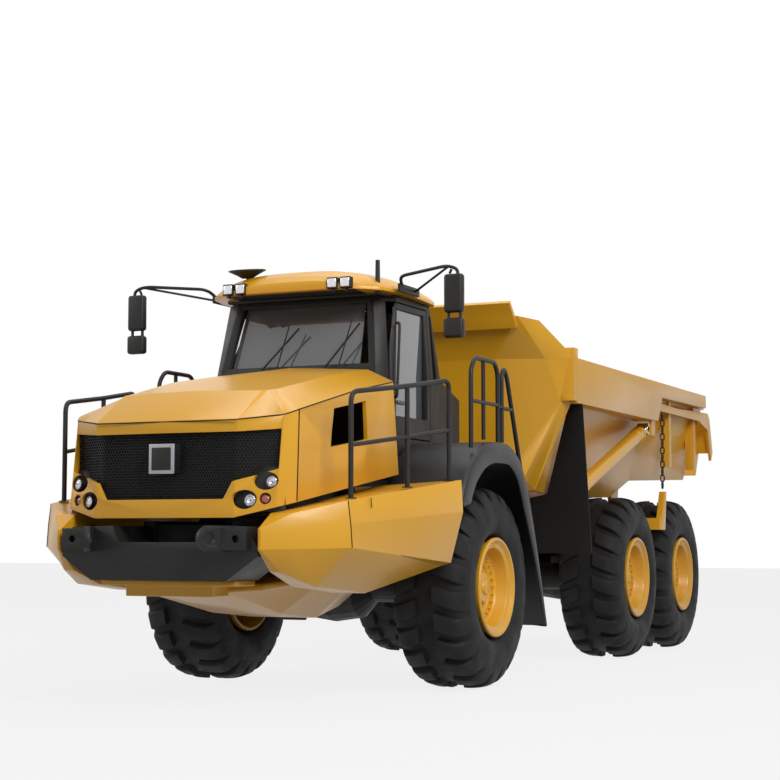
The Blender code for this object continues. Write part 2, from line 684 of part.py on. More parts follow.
def cab_roof():
    """The yellow cap: a thin brim, a raised middle and a visor over the windscreen."""
    low = CAB_ROOF_Z
    rings = []
    # y, half width, brim z, shoulder half width, top z
    for y, wide, brim, shoulder, top in ((-1.06, 0.62, 3.64, 0.56, 3.70), (-0.86, 0.90, 3.62, 0.78, 3.80),
                                         (-0.30, ROOF_HALF_WIDTH, 3.62, 0.80, 3.835), (0.20, 0.94, 3.60, 0.76, 3.80),
                                         (0.36, 0.88, 3.60, 0.66, 3.70)):
        rings.append([(wide - 0.05, y, max(brim - 0.05, low)), (wide, y, brim), (shoulder, y, top)])
    cap = loft(rings)
    plug = solid_loft([cab_ring(z, -0.005) for z in (low, low + 0.09)])
    lamp_bar = box((-0.66, -1.075, 3.585), (0.66, -0.96, 3.665))
    beacon = rod((-0.50, -0.55, 3.78), (-0.50, -0.55, 3.865), 0.11, 20)
    disc = rod((-0.52, -0.80, 3.76), (-0.52, -0.80, 3.88), 0.17, 24)
    finish(unite(cap, plug, lamp_bar, beacon, disc), "cab_roof", "yellow_paint")


def cab_glass():
    """One wrap of glass inside the posts: windscreen, right side and back."""
    inset = CAB_WALL + GLASS_GAP
    outer = solid_loft([cab_ring(z, -inset) for z in (2.72, WINDOW_FOOT_Z, 3.515)])
    inner = solid_loft([cab_ring(z, -inset - 0.012) for z in (2.6, WINDOW_FOOT_Z, 3.7)])
    doorway = box((0.6, DOOR_FRONT_Y - 0.03, 2.5), (1.2, DOOR_REAR_Y + 0.03, 3.8))
    finish(cut(outer, inner, doorway), "cab_glass", "dark_glass")


def seat():
    base = box((-0.18, -0.26, CAB_FLOOR_Z + CAB_WALL + GAP), (0.18, 0.10, 2.34))
    cushion = box((-0.26, -0.34, 2.33), (0.26, 0.14, 2.47))
    back = box((-0.24, 0.05, 2.45), (0.24, 0.17, 3.08))
    rest = box((-0.13, 0.07, 3.07), (0.13, 0.15, 3.26))
    finish(unite(base, cushion, back, rest), "driver_seat", "seat_fabric")


def dash():
    desk = box((-0.72, -0.70, CAB_FLOOR_Z + CAB_WALL + GAP), (0.62, -0.52, 2.62))
    column = rod((0, -0.60, 2.50), (0, -0.42, 2.72), 0.035, 12)
    turn = (Vector((0, -0.42, 2.72)) - Vector((0, -0.60, 2.50))).to_track_quat("Z", "Y").to_matrix()
    shape = bmesh.new()
    bmesh.ops.create_cone(shape, cap_ends=True, segments=24, radius1=0.21, radius2=0.21, depth=0.03)
    bmesh.ops.rotate(shape, matrix=turn, verts=shape.verts)
    bmesh.ops.translate(shape, vec=(0, -0.42, 2.72), verts=shape.verts)
    finish(unite(desk, column, from_bmesh("wheel", shape)), "dash_and_steering_wheel", "charcoal_paint")


def service_box():
    """The dark case behind the cab, sloping down towards the hitch."""
    made = plate([(CAB_REAR_Y + 0.03, CAB_FLOOR_Z), (CAB_REAR_Y + 0.03, 2.90), (1.00, 2.72), (1.00, CAB_FLOOR_Z)],
                 -0.86, 0.86)
    finish(made, "service_box", "charcoal_paint")


def door():
    """The left door, hinged at its rear edge, with one tall window."""
    outline = [(DOOR_FRONT_Y + CLEAR, DOOR_LOW_Z + CLEAR), (DOOR_FRONT_Y + CLEAR, 2.86),
               (DOOR_FRONT_Y + 0.12 + CLEAR, CAB_ROOF_Z - 0.05 - CLEAR),
               (DOOR_REAR_Y - CLEAR, CAB_ROOF_Z - 0.05 - CLEAR),
               (DOOR_REAR_Y - CLEAR, DOOR_LOW_Z + CLEAR)]
    window = [(DOOR_FRONT_Y + 0.08, 2.46), (DOOR_FRONT_Y + 0.08, 2.84), (DOOR_FRONT_Y + 0.18, 3.44),
              (DOOR_REAR_Y - 0.07, 3.44), (DOOR_REAR_Y - 0.07, 2.46)]
    high = CAB_HALF_WIDTH
    made = plate(outline, high - DOOR_THICKNESS, high)
    cut(made, plate(window, 0.5, 1.3))
    lean = solid_loft([cab_ring(z) for z in (1.9, WINDOW_FOOT_Z, 3.7)])
    keep = made.modifiers.new("lean", "BOOLEAN")
    keep.operation = "INTERSECT"
    keep.object = lean
    finish(made, "cab_door", "charcoal_paint", DOOR)
    pane_outline = [(y, z) for y, z in window]
    pane = plate(grow_outline(pane_outline, 0.02), high - DOOR_THICKNESS - 0.012, high - DOOR_THICKNESS - GAP)
    finish(pane, "cab_door_glass", "dark_glass", DOOR)


def grow_outline(outline, amount):
    """Move each point away from the outline's middle by an amount in both directions."""
    middle_a = sum(a for a, _ in outline) / len(outline)
    middle_b = sum(b for _, b in outline) / len(outline)
    return [(a + math.copysign(amount, a - middle_a), b + math.copysign(amount, b - middle_b))
            for a, b in outline]


cab()
cab_roof()
cab_glass()
seat()
dash()
service_box()
door()


# ---------------------------------------------------------------- mirrors and handrails
def mirror(side_name, side):
    """Wire arms from the roof's corner, a tall mirror and a small one below it."""
    def place(points):
        return points if side > 0 else flip(points)
    foot_low, foot_high = sorted((side * (ROOF_HALF_WIDTH + GAP), side * (ROOF_HALF_WIDTH + 0.03)))
    foot = box((foot_low, -0.70, 3.57), (foot_high, -0.25, 3.66))
    top = tube(place([(0.965, -0.62, 3.64), (1.00, -0.75, 3.70), (1.55, -0.98, 3.735), (1.64, -0.99, 3.70),
                      (1.66, -0.99, 3.60)]), 0.016)
    brace = tube(place([(0.965, -0.34, 3.62), (1.56, -0.975, 3.725)]), 0.012)
    low, high = sorted((side * 1.535, side * 1.715))
    tall = box((low, -1.03, 3.30), (high, -0.95, 3.66))
    link = box((low + 0.05, -1.01, 3.26), (high - 0.05, -0.97, 3.32))
    small = box((low - 0.005, -1.05, 3.09), (high + 0.005, -0.94, 3.275))
    finish(unite(top, foot, brace, tall, link, small), "mirror_" + side_name, "charcoal_paint")


def front_rail(side_name, side):
    """Three posts on the wing with a top rail and a middle rail."""
    def place(points):
        return points if side > 0 else flip(points)
    # y, x, foot z, top z of each post
    posts = ((-2.50, 1.36, 1.672, 2.52), (-1.72, 1.50, 1.776, 2.62), (-1.06, 1.60, 1.857, 2.72))
    tops = [(x, y, top) for y, x, foot, top in posts]
    made = tube(place([(posts[0][1], posts[0][0], posts[0][2]), tops[0], tops[1], tops[2],
                       (posts[2][1], posts[2][0], posts[2][2])]))
    unite(made, tube(place([(posts[1][1], posts[1][0], posts[1][2]), tops[1]])))
    middles = [(x, y, (foot + top) / 2) for y, x, foot, top in posts]
    unite(made, tube(place(middles), RAIL_TUBE - 0.003))
    finish(made, "handrail_front_" + side_name, "charcoal_paint")


def side_rail(side_name, side):
    """Two hoops that flank the steps, standing on the fender's walkway."""
    def place(points):
        return points if side > 0 else flip(points)
    x = 1.62
    made = tube(place([(x, -0.60, 2.16), (x, -0.60, 2.86), (x, -0.50, 2.97), (x, -0.02, 2.97),
                       (x, 0.06, 2.88), (x, 0.06, 2.24)]))
    unite(made, tube(place([(x, -0.30, 2.245), (x, -0.30, 2.97)]), RAIL_TUBE - 0.002))
    unite(made, tube(place([(x, -0.60, 2.58), (x, 0.06, 2.58)]), RAIL_TUBE - 0.003))
    unite(made, tube(place([(x, 0.16, 2.24), (x, 0.16, 2.86), (x, 0.22, 2.94), (x, 0.30, 2.86),
                            (x, 0.66, 2.00)])))
    unite(made, tube(place([(x, 0.14, 2.56), (x, 0.42, 2.56)]), RAIL_TUBE - 0.003))
    unite(made, tube(place([(x, 0.04, 2.58), (x, 0.18, 2.56)]), RAIL_TUBE - 0.004))
    finish(made, "handrail_side_" + side_name, "charcoal_paint")


for side_name, side in SIDES:
    mirror(side_name, side)
    front_rail(side_name, side)
    side_rail(side_name, side)


# ---------------------------------------------------------------- hitch and rear frame
def hitch():
    """The yoke between the front frame's lugs, with the roll tube and steering arms."""
    low = HITCH_Z - HITCH_HALF_HEIGHT
    high = HITCH_Z + HITCH_HALF_HEIGHT
    block = plate([(-0.17, 1.42), (0.17, 1.42), (0.24, 1.75), (0.24, 1.98), (-0.24, 1.98), (-0.24, 1.75)],
                  low, high, "XY")
    pin = rod((0, HITCH_Y, low - LUG_THICKNESS - 0.03), (0, HITCH_Y, high + LUG_THICKNESS + 0.03),
              HITCH_PIN_RADIUS, 24)
    arm = box((-STEER_ARM_X - 0.02, HITCH_Y - 0.03, HITCH_Z - 0.04),
              (STEER_ARM_X + 0.02, HITCH_Y + 0.16, HITCH_Z + 0.04))
    roll = rod((0, 1.9, HITCH_Z), (0, 2.62, HITCH_Z), ROLL_TUBE_RADIUS, 28)
    finish(unite(block, pin, arm, roll), "hitch_yoke", "charcoal_paint", STEER)


def steer_cylinder(side_name, side):
    """A steering cylinder below the yoke's arm: its barrel on the front frame, and its rod."""
    x = side * STEER_ARM_X
    z = HITCH_Z - STEER_DROP
    bore_start = STEER_BASE_Y + 0.13
    rod_start = bore_start + STEER_STROKE / 2 + CLEAR
    barrel_end = bore_start + STEER_STROKE + 0.11
    barrel = rod((x, STEER_BASE_Y + 0.08 + GAP, z), (x, barrel_end, z), 0.062, 18)
    cut(barrel, rod((x, bore_start, z), (x, barrel_end + 0.1, z), 0.036, 18))
    finish(barrel, "steer_barrel_" + side_name, "charcoal_paint", None, 40)
    piston = rod((x, rod_start, z), (x, HITCH_Y - 0.02, z), 0.03, 16)
    eye = rod((x, HITCH_Y, z - 0.03), (x, HITCH_Y, z + 0.03), 0.055, 18)
    slide = empty("slide_steer_rod_" + side_name, (x, rod_start, z), TRUCK)
    finish(unite(piston, eye), "steer_rod_" + side_name, "chrome", slide, 40)


def rear_frame():
    """Two beams behind the roll collar, with arms for the hoists and chains and the bed's pins."""
    top = REAR_BEAM_TOP_Z
    low = BEAM_LOW_Z
    parts = []
    for _, side in SIDES:
        inner, outer = sorted((side * REAR_BEAM_INNER_X, side * REAR_BEAM_OUTER_X))
        parts.append(box((inner, 2.05, low), (outer, REAR_BEAM_END_Y, top)))
    collar = rod((0, 2.10, HITCH_Z), (0, 2.56, HITCH_Z), 0.31, 28)
    cheek = box((-0.50, 2.06, 1.12), (0.50, 2.56, 1.6))
    crosses = [box((-0.40, y, low + 0.04), (0.40, y + 0.16, top - 0.04)) for y in (3.4, 5.35, REAR_BEAM_END_Y - 0.2)]
    made = unite(parts[0], parts[1], collar, cheek, *crosses)
    for _, side in SIDES:
        hoist_y, hoist_z = HOIST_BASE
        inner, outer = sorted((side * 0.45, side * (HOIST_X - HOIST_RADIUS - 0.02)))
        unite(made, box((inner, hoist_y - 0.05, 1.42), (outer, hoist_y + 0.14, 1.60)))
        post_in, post_out = sorted((side * (HOIST_X - HOIST_RADIUS - 0.12), side * (HOIST_X - HOIST_RADIUS - 0.02)))
        unite(made, box((post_in, hoist_y - 0.05, 1.50), (post_out, hoist_y + 0.14, hoist_z + 0.07)))
        pin_in, pin_out = sorted((side * (HOIST_X - HOIST_RADIUS - 0.03), side * (HOIST_X + 0.06)))
        unite(made, rod((pin_in, hoist_y, hoist_z), (pin_out, hoist_y, hoist_z), 0.04, 16))
        ear_in, ear_out = sorted((side * (REAR_BEAM_INNER_X - 0.02), side * (REAR_BEAM_OUTER_X + 0.04)))
        unite(made, box((ear_in, BED_PIVOT_Y - BED_EAR_REACH, top - 0.02),
                        (ear_out, BED_PIVOT_Y + BED_EAR_REACH, BED_PIVOT_Z + BED_EAR_RISE)))
        pin_in, pin_out = sorted((side * REAR_BEAM_OUTER_X, side * (BED_LUG_X + BED_LUG_THICKNESS / 2 + 0.02)))
        unite(made, rod((pin_in, BED_PIVOT_Y, BED_PIVOT_Z), (pin_out, BED_PIVOT_Y, BED_PIVOT_Z), BED_PIN_RADIUS, 20))
        arm_in, arm_out = sorted((side * FRAME_HALF_WIDTH, side * (CHAIN_X + 0.02)))
        unite(made, box((arm_in, 5.40, 1.46), (arm_out, 5.56, 1.60)))
        tip_in, tip_out = sorted((side * (CHAIN_X - 0.035), side * (CHAIN_X + 0.035)))
        base_y, base_z = CHAIN_BASE
        unite(made, plate([(5.40, 1.46), (5.60, 1.46), (base_y + 0.05, base_z - 0.08),
                           (base_y - 0.03, base_z - 0.08)], tip_in, tip_out))
    bore = rod((0, 1.9, HITCH_Z), (0, 2.9, HITCH_Z), ROLL_TUBE_RADIUS + PIN_CLEAR, 28)
    room = rod((0, 2.55, HITCH_Z), (0, 2.8, HITCH_Z), ROLL_TUBE_RADIUS + 0.03, 28)
    cut(made, bore, room)
    finish(made, "rear_frame", "charcoal_paint", ROLL)


def walking_beam(side_name, side):
    """The beam that shares the load between the two rear axles."""
    low, high = sorted((side * 0.62, side * 0.76))
    middle = (MID_AXLE_Y + REAR_AXLE_Y) / 2
    outline = [(MID_AXLE_Y - 0.14, 1.075), (middle - 0.5, 1.068), (middle + 0.5, 1.068),
               (REAR_AXLE_Y + 0.14, 1.075), (REAR_AXLE_Y + 0.14, 1.15),
               (middle + 0.2, 1.28), (middle - 0.2, 1.28), (MID_AXLE_Y - 0.14, 1.15)]
    made = plate(outline, low, high)
    inner, outer = sorted((side * (0.50 + GAP), side * 0.70))
    unite(made, rod((inner, middle, 1.30), (outer, middle, 1.30), 0.12, 20))
    unite(made, box((low + 0.01, middle - 0.13, 1.2), (high - 0.01, middle + 0.13, 1.36)))
    finish(made, "walking_beam_" + side_name, "charcoal_paint", ROLL)


hitch()
rear_frame()
axle("mid_axle", MID_AXLE_Y, ROLL)
axle("rear_axle", REAR_AXLE_Y, ROLL)
for side_name, side in SIDES:
    steer_cylinder(side_name, side)
    walking_beam(side_name, side)


# ---------------------------------------------------------------- bed
# Each ring is half of the bed at one station: floor edge, crease, rail foot, rail top.
# Columns: floor (x, y, z), crease (x, y, z), shoulder (x, y, z), top (x, y, z)
BED_RINGS = (
    ((0.86, 2.04, 1.90), (0.93, 1.90, 2.76), (0.95, 1.76, 3.20), (0.95, 1.52, 3.62)),
    ((1.12, 2.10, 1.97), (1.50, 2.20, 2.76), (1.41, 1.98, 3.20), (1.28, 1.52, 3.60)),
    ((1.13, 2.22, 1.93), (1.53, 2.24, 2.765), (1.49, 2.08, 3.20), (1.42, 1.77, 3.575)),
    ((1.14, 2.38, 1.86), (1.58, 2.30, 2.77), (1.62, 2.22, 3.20), (1.58, 2.10, 3.325)),
    ((1.15, 2.60, 1.84), (1.40, 2.50, 2.765), (1.62, 2.42, 3.16), (1.62, 2.42, 3.22)),
    ((1.15, 3.20, 1.81), (1.38, 3.20, 2.765), (1.60, 3.20, 3.16), (1.60, 3.20, 3.22)),
    ((1.15, 4.95, 1.84), (1.38, 4.95, 2.765), (1.60, 4.95, 3.16), (1.60, 4.95, 3.22)),
    ((1.18, 5.70, 2.07), (1.38, 5.70, 2.765), (1.55, 5.70, 3.16), (1.55, 5.70, 3.22)),
    ((1.30, BED_TAIL_Y - 0.1, 2.13), (1.44, BED_TAIL_Y, 2.765), (1.52, BED_TAIL_Y + 0.15, 3.16),
     (1.52, BED_TAIL_Y + 0.15, 3.22)),
)
RAIL_STEP_Y = 7.66              # behind this the rail is thinner, to let the gate's arm swing up
RAIL_TAIL_X = 1.52
# the same stations inside: floor, crease, shoulder, top; the last column is above the rail
BED_WALL_IN = (
    ((0.82, 2.12, 1.98), (0.89, 1.98, 2.76), (0.91, 1.84, 3.20), (0.91, 1.58, 3.75)),
    ((1.04, 2.18, 1.99), (1.40, 2.28, 2.76), (1.33, 2.06, 3.20), (1.18, 1.56, 3.75)),
    ((1.05, 2.31, 1.96), (1.42, 2.34, 2.76), (1.40, 2.17, 3.20), (1.33, 1.82, 3.75)),
    ((1.06, 2.46, 1.93), (1.44, 2.42, 2.76), (1.50, 2.34, 3.20), (1.50, 2.19, 3.75)),
    ((1.07, 2.66, 1.91), (1.32, 2.56, 2.76), (1.46, 2.50, 3.24), (1.56, 2.50, 3.75)),
    ((1.07, 3.20, 1.88), (1.32, 3.20, 2.76), (1.46, 3.20, 3.24), (1.56, 3.20, 3.75)),
    ((1.07, 4.95, 1.91), (1.32, 4.95, 2.76), (1.46, 4.95, 3.24), (1.56, 4.95, 3.75)),
    ((1.10, 5.66, 2.13), (1.32, 5.66, 2.76), (1.44, 5.66, 3.24), (1.50, 5.66, 3.75)),
    ((1.22, 8.40, 2.19), (1.36, 8.40, 2.76), (1.44, 8.40, 3.24), (1.46, 8.40, 3.75)),
)


def bed():
    made = loft(BED_RINGS)
    room = loft(BED_WALL_IN)
    cut(made, room)
    for _, side in SIDES:
        unite(made, plate([(BED_FRONT_Y, BED_RAIL_LOW_Z), (BED_FRONT_Y, BED_RAIL_TOP_Z),
                           (RAIL_STEP_Y, BED_RAIL_TOP_Z), (RAIL_STEP_Y, 3.07), (5.55, 3.055),
                           (5.35, BED_RAIL_LOW_Z)], *sorted((side * 1.47, side * BED_RAIL_X))))
        post_in, post_out = sorted((side * 1.51, side * (BED_RAIL_X - 0.002)))
        unite(made, box((post_in, BED_FRONT_Y - 0.09, BED_RAIL_LOW_Z + 0.02), (post_out, BED_FRONT_Y + 0.05, 3.33)))
        unite(made, plate([(RAIL_STEP_Y - 0.1, BED_RAIL_TOP_Z - 0.005), (8.00, BED_RAIL_TOP_Z - 0.005), (8.05, 3.18),
                           (8.05, 3.075), (RAIL_STEP_Y - 0.1, 3.075)],
                          *sorted((side * 1.475, side * RAIL_TAIL_X))))
        for y in (6.35, 7.55):
            rib_in, rib_out = sorted((side * 1.40, side * 1.52))
            unite(made, box((rib_in, y - 0.045, 2.25), (rib_out, y + 0.045, 3.12)))
        unite(made, plate([(2.8, 1.68), (2.8, 1.88), (7.6, 2.18), (7.42, 1.98), (BED_PIVOT_Y + 0.14, 1.90),
                           (BED_PIVOT_Y - 0.14, 1.90), (6.4, 1.88), (4.9, 1.70)],
                          *sorted((side * REAR_BEAM_INNER_X, side * REAR_BEAM_OUTER_X))))
        lug_in = side * (BED_LUG_X - BED_LUG_THICKNESS / 2)
        lug_out = side * (BED_LUG_X + BED_LUG_THICKNESS / 2)
        unite(made, plate([(BED_PIVOT_Y - 0.20, 2.13), (BED_PIVOT_Y - 0.11, 1.74), (BED_PIVOT_Y - 0.06, 1.68),
                           (BED_PIVOT_Y + 0.06, 1.68), (BED_PIVOT_Y + 0.11, 1.74), (BED_PIVOT_Y + 0.20, 2.13)],
                          *sorted((lug_in, lug_out))))
        cut(made, rod((lug_in - side * 0.02, BED_PIVOT_Y, BED_PIVOT_Z), (lug_out + side * 0.02, BED_PIVOT_Y,
                      BED_PIVOT_Z), BED_PIN_RADIUS + PIN_CLEAR, 20))
        bracket_in, bracket_out = sorted((side * 1.34, side * (HOIST_X + 0.11)))
        top_y, top_z = HOIST_TOP
        unite(made, box((bracket_in, top_y - 0.09, top_z + HOIST_RADIUS + 0.01),
                        (bracket_out, top_y + 0.09, BED_RAIL_LOW_Z + 0.05)))
        ear_in, ear_out = sorted((side * (HOIST_X + 0.095), side * (HOIST_X + 0.125)))
        unite(made, box((ear_in, top_y - 0.08, top_z - 0.08), (ear_out, top_y + 0.08, BED_RAIL_LOW_Z + 0.05)))
    lip = plate([(1.60, 3.50), (1.50, 3.60), (1.36, 3.735), (1.33, 3.71), (1.47, 3.56), (1.53, 3.48)],
                -1.26, 1.26)
    unite(made, lip)
    finish(made, "bed", "yellow_paint", BED)


def bed_flap(side_name, side):
    """The rubber sheet under the bed's front corner, ahead of the wheels."""
    top = BED_RAIL_LOW_Z - GAP
    outline = [(1.50, top), (1.655, top), (1.655, FLAP_LOW_Z), (0.98, FLAP_LOW_Z), (0.98, 1.78), (1.20, 1.83)]
    rings = []
    for step in (0, FLAP_SHEET):
        rings.append([(side * x, FLAP_TOP_Y + step + (top - z) * FLAP_LEAN, z) for x, z in outline])
    finish(solid_loft(rings), "bed_flap_" + side_name, "black_rubber", BED)


def tailgate():
    """The gate across the tail with an arm along each side to the chain."""
    made = plate([(8.06, 3.12), (8.10, 3.12), (8.30, 2.52), (8.12, 2.20), (8.07, 2.20), (8.24, 2.52)],
                 -GATE_HALF_WIDTH, GATE_HALF_WIDTH)
    for _, side in SIDES:
        low, high = sorted((side * (GATE_ARM_X - GATE_ARM_THICKNESS / 2), side * (GATE_ARM_X + GATE_ARM_THICKNESS / 2)))
        top_y, top_z = CHAIN_TOP
        arm = plate([(top_y - 0.06, top_z - 0.05), (top_y - 0.06, top_z + 0.05), (6.5, 2.99), (8.05, 3.03),
                     (8.16, 2.96), (8.30, 2.52), (8.22, 2.40), (8.06, 2.80), (7.6, 2.90), (6.6, 2.90)], low, high)
        web_low, web_high = sorted((side * (GATE_HALF_WIDTH - 0.08), side * GATE_ARM_X))
        web = plate([(8.10, 2.95), (8.16, 2.95), (8.28, 2.54), (8.22, 2.50)], web_low, web_high)
        unite(made, arm, web)
    finish(made, "tailgate", "yellow_paint", GATE)


def hoist(side_name, side):
    x = side * HOIST_X
    base = Vector((x, *HOIST_BASE))
    top = Vector((x, *HOIST_TOP))
    along = (top - base).normalized()
    pivot = empty("pivot_hoist_barrel_" + side_name, base, ROLL)
    barrel = rod(base + along * 0.065, base + along * HOIST_BARREL, HOIST_RADIUS, 22)
    cut(barrel, rod(base + along * 0.12, base + along * (HOIST_BARREL + 0.2), HOIST_RADIUS - 0.022, 20))
    finish(barrel, "hoist_barrel_" + side_name, "yellow_paint", pivot, 40)
    slide = empty("slide_hoist_rod_" + side_name, base + along * 0.13, pivot)
    eye = rod(top - Vector((0.07 * side, 0, 0)), top + Vector((0.07 * side, 0, 0)), 0.07, 18)
    piston = rod(base + along * 0.13, top - along * 0.02, 0.055, 18)
    finish(unite(piston, eye), "hoist_rod_" + side_name, "chrome", slide, 40)


def chain(side_name, side):
    """The chain from the rear frame's arm to the gate's arm, as one plain bar."""
    x = side * CHAIN_X
    base_y, base_z = CHAIN_BASE
    top_y, top_z = CHAIN_TOP
    pivot = empty("pivot_chain_" + side_name, (x, base_y, base_z), ROLL)
    made = rod((x, base_y, base_z - 0.05), (x, top_y, top_z - 0.08), CHAIN_RADIUS, 10)
    finish(made, "gate_chain_" + side_name, "grey_steel", pivot)


bed()
tailgate()
for side_name, side in SIDES:
    bed_flap(side_name, side)
    hoist(side_name, side)
    chain(side_name, side)
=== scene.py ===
"""Looks of the articulated dump truck: enamel, rubber, glass, lamps, tyres, rims and trim.

The truck faces -Y and its left side is +X.  Places are measured from the front axle, whose
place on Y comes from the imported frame, in metres.
"""
import math

import bmesh
import bpy
import numpy as np
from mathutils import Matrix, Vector


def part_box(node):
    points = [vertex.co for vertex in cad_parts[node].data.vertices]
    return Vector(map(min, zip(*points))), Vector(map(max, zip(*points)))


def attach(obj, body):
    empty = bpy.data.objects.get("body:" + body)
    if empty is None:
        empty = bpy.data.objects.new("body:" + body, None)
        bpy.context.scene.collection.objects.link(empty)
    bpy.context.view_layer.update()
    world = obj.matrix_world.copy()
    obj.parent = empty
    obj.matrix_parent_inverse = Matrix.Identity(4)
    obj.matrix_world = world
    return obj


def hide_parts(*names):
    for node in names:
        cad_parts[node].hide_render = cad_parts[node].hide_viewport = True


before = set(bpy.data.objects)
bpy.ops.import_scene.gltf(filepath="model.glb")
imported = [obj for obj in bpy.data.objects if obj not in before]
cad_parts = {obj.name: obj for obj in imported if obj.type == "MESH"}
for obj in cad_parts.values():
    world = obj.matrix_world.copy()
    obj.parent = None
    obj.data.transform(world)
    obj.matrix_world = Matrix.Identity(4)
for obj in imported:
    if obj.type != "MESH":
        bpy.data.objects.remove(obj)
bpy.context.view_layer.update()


def middle_of(node):
    low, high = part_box(node)
    return np.array((low + high) / 2)


AXLE = middle_of("wheel_front_left")            # the front axle's left wheel centre
AXLE_Y = float(AXLE[1])
SIDES = (("left", 1.0), ("right", -1.0))


def at(*points):
    """Points given from the front axle, as an array in the row's frame."""
    return np.array(points, float) + (0, AXLE_Y, 0)


def mirrored(points, side):
    return np.array(points, float) * (side, 1, 1)


# ---------------------------------------------------------------- materials
def linear(code):
    """sRGB hex to linear light, with alpha 1."""
    parts = [int(code[i:i + 2], 16) / 255 for i in (0, 2, 4)]
    return tuple(p / 12.92 if p <= 0.04045 else ((p + 0.055) / 1.055) ** 2.4 for p in parts) + (1.0,)


def add(tree, kind, links=None, **settings):
    """Add a node, give its sockets values or links, and return it."""
    made = tree.nodes.new(kind)
    for key, value in settings.items():
        setattr(made, key, value)
    for socket, value in (links or {}).items():
        if isinstance(value, bpy.types.NodeSocket):
            tree.links.new(value, made.inputs[socket])
        else:
            made.inputs[socket].default_value = value
    return made


def finish(name, light, dark, scale=2.0, roughness=(0.3, 0.45), grain=300.0, bump=0.1, depth=0.001,
           low_tint=None, low_tint_height=1.4, **sockets):
    """A surface of two near colours in soft patches, with a fine grain in its bump and gloss."""
    material = bpy.data.materials.new(name)
    material.use_nodes = True
    tree = material.node_tree
    shader = tree.nodes["Principled BSDF"]
    place = add(tree, "ShaderNodeTexCoord").outputs["Object"]
    patches = add(tree, "ShaderNodeTexNoise", {"Vector": place, "Scale": scale, "Detail": 5.0})
    grains = add(tree, "ShaderNodeTexNoise", {"Vector": place, "Scale": grain, "Detail": 2.0})
    colour = add(tree, "ShaderNodeMix", {"Factor": patches.outputs["Fac"], "A": linear(light),
                                         "B": linear(dark)}, data_type="RGBA").outputs["Result"]
    # a second colour mixed in soft clouds, more of it lower down: a dusty brown on the dark finishes, a
    # darker brown towards the bottom of the rims
    if low_tint is not None:
        height = add(tree, "ShaderNodeSeparateXYZ", {"Vector": place}).outputs["Z"]
        low = add(tree, "ShaderNodeMapRange", {"Value": height, "From Min": 0.0, "From Max": low_tint_height,
                                               "To Min": 0.75, "To Max": 0.0})
        cloud = add(tree, "ShaderNodeTexNoise", {"Vector": place, "Scale": 7.0, "Detail": 8.0})
        share = add(tree, "ShaderNodeMath", {0: low.outputs["Result"], 1: cloud.outputs["Fac"]},
                    operation="MULTIPLY").outputs["Value"]
        colour = add(tree, "ShaderNodeMix", {"Factor": share, "A": colour, "B": linear(low_tint)},
                     data_type="RGBA").outputs["Result"]
    tree.links.new(colour, shader.inputs["Base Color"])
    gloss = add(tree, "ShaderNodeMapRange", {"Value": patches.outputs["Fac"], "From Min": 0.3,
                                             "From Max": 0.7, "To Min": roughness[0],
                                             "To Max": roughness[1]})
    tree.links.new(gloss.outputs["Result"], shader.inputs["Roughness"])
    relief = add(tree, "ShaderNodeBump", {"Height": grains.outputs["Fac"], "Strength": bump,
                                          "Distance": depth})
    tree.links.new(relief.outputs["Normal"], shader.inputs["Normal"])
    for socket, value in sockets.items():
        shader.inputs[socket.replace("_", " ")].default_value = value
    return material


# Two-pack machine enamel, sprayed: a warm yellow with a soft gloss and faint orange peel.
YELLOW = finish("yellow_machine_enamel", "E3A724", "DA9D19", scale=0.9, roughness=(0.30, 0.40), grain=90.0,
                bump=0.05, depth=0.0006, Coat_Weight=0.12,
                Coat_Roughness=0.10, IOR=1.45)
# The same enamel on cast and turned rims, with a darker brown mixed in soft clouds towards the bottom of each
# rim.
RIM_YELLOW = finish("yellow_rim_enamel", "E3A821", "D99D18", scale=3.0, roughness=(0.34, 0.46), grain=120.0,
                    bump=0.08, depth=0.0008, low_tint="7A5A20", low_tint_height=0.8, Coat_Weight=0.2,
                    Coat_Roughness=0.2, IOR=1.5)
# Charcoal powder coat on steel: dark grey with a fine dry texture.
CHARCOAL = finish("charcoal_powder_coat", "211F1E", "191817", scale=3.0, roughness=(0.40, 0.55), grain=420.0,
                  bump=0.25, depth=0.0006, low_tint="2A241C", low_tint_height=0.9, IOR=1.5, Specular_IOR_Level=0.3)
# Chassis paint under the truck, oily and dusty.
CHASSIS = finish("chassis_black_paint", "1E1C1B", "161514", scale=5.0, roughness=(0.45, 0.7), grain=160.0,
                 bump=0.3, depth=0.001, low_tint="2A2116", low_tint_height=1.5, IOR=1.5, Specular_IOR_Level=0.3)
# Rotomoulded black polyethylene: dark, soft sheen and a leathery grain.
FENDER = finish("moulded_black_polyethylene", "1C1C1E", "151517", scale=2.5, roughness=(0.38, 0.5),
                grain=260.0, bump=0.3, depth=0.0012, low_tint="2C2822", low_tint_height=0.8, IOR=1.5,
                Specular_IOR_Level=0.4)
# Carbon-black tyre rubber: matt, a little grey where it is scuffed.
RUBBER = finish("tyre_rubber", "191818", "121111", scale=6.0, roughness=(0.62, 0.82), grain=220.0, bump=0.35,
                depth=0.0015, low_tint="241F1A", low_tint_height=0.5, IOR=1.5, Specular_IOR_Level=0.3)
# Reinforced rubber sheet of the flaps: flat, very dark.
SHEET_RUBBER = finish("rubber_sheet", "171513", "110F0E", scale=4.0, roughness=(0.6, 0.75), grain=300.0,
                      bump=0.3, depth=0.001, IOR=1.5, Specular_IOR_Level=0.2)
# Hard-chromed piston rods.
CHROME = finish("hard_chrome", "D8D8DA", "C8C8CC", scale=30.0, roughness=(0.08, 0.16), grain=600.0, bump=0.02,
                depth=0.0002, Metallic=1.0)
# Machined and cast steel, left bare.
STEEL = finish("bare_cast_steel", "77736E", "5E5A55", scale=12.0, roughness=(0.35, 0.55), grain=350.0,
               bump=0.3, depth=0.0008, Metallic=0.85)
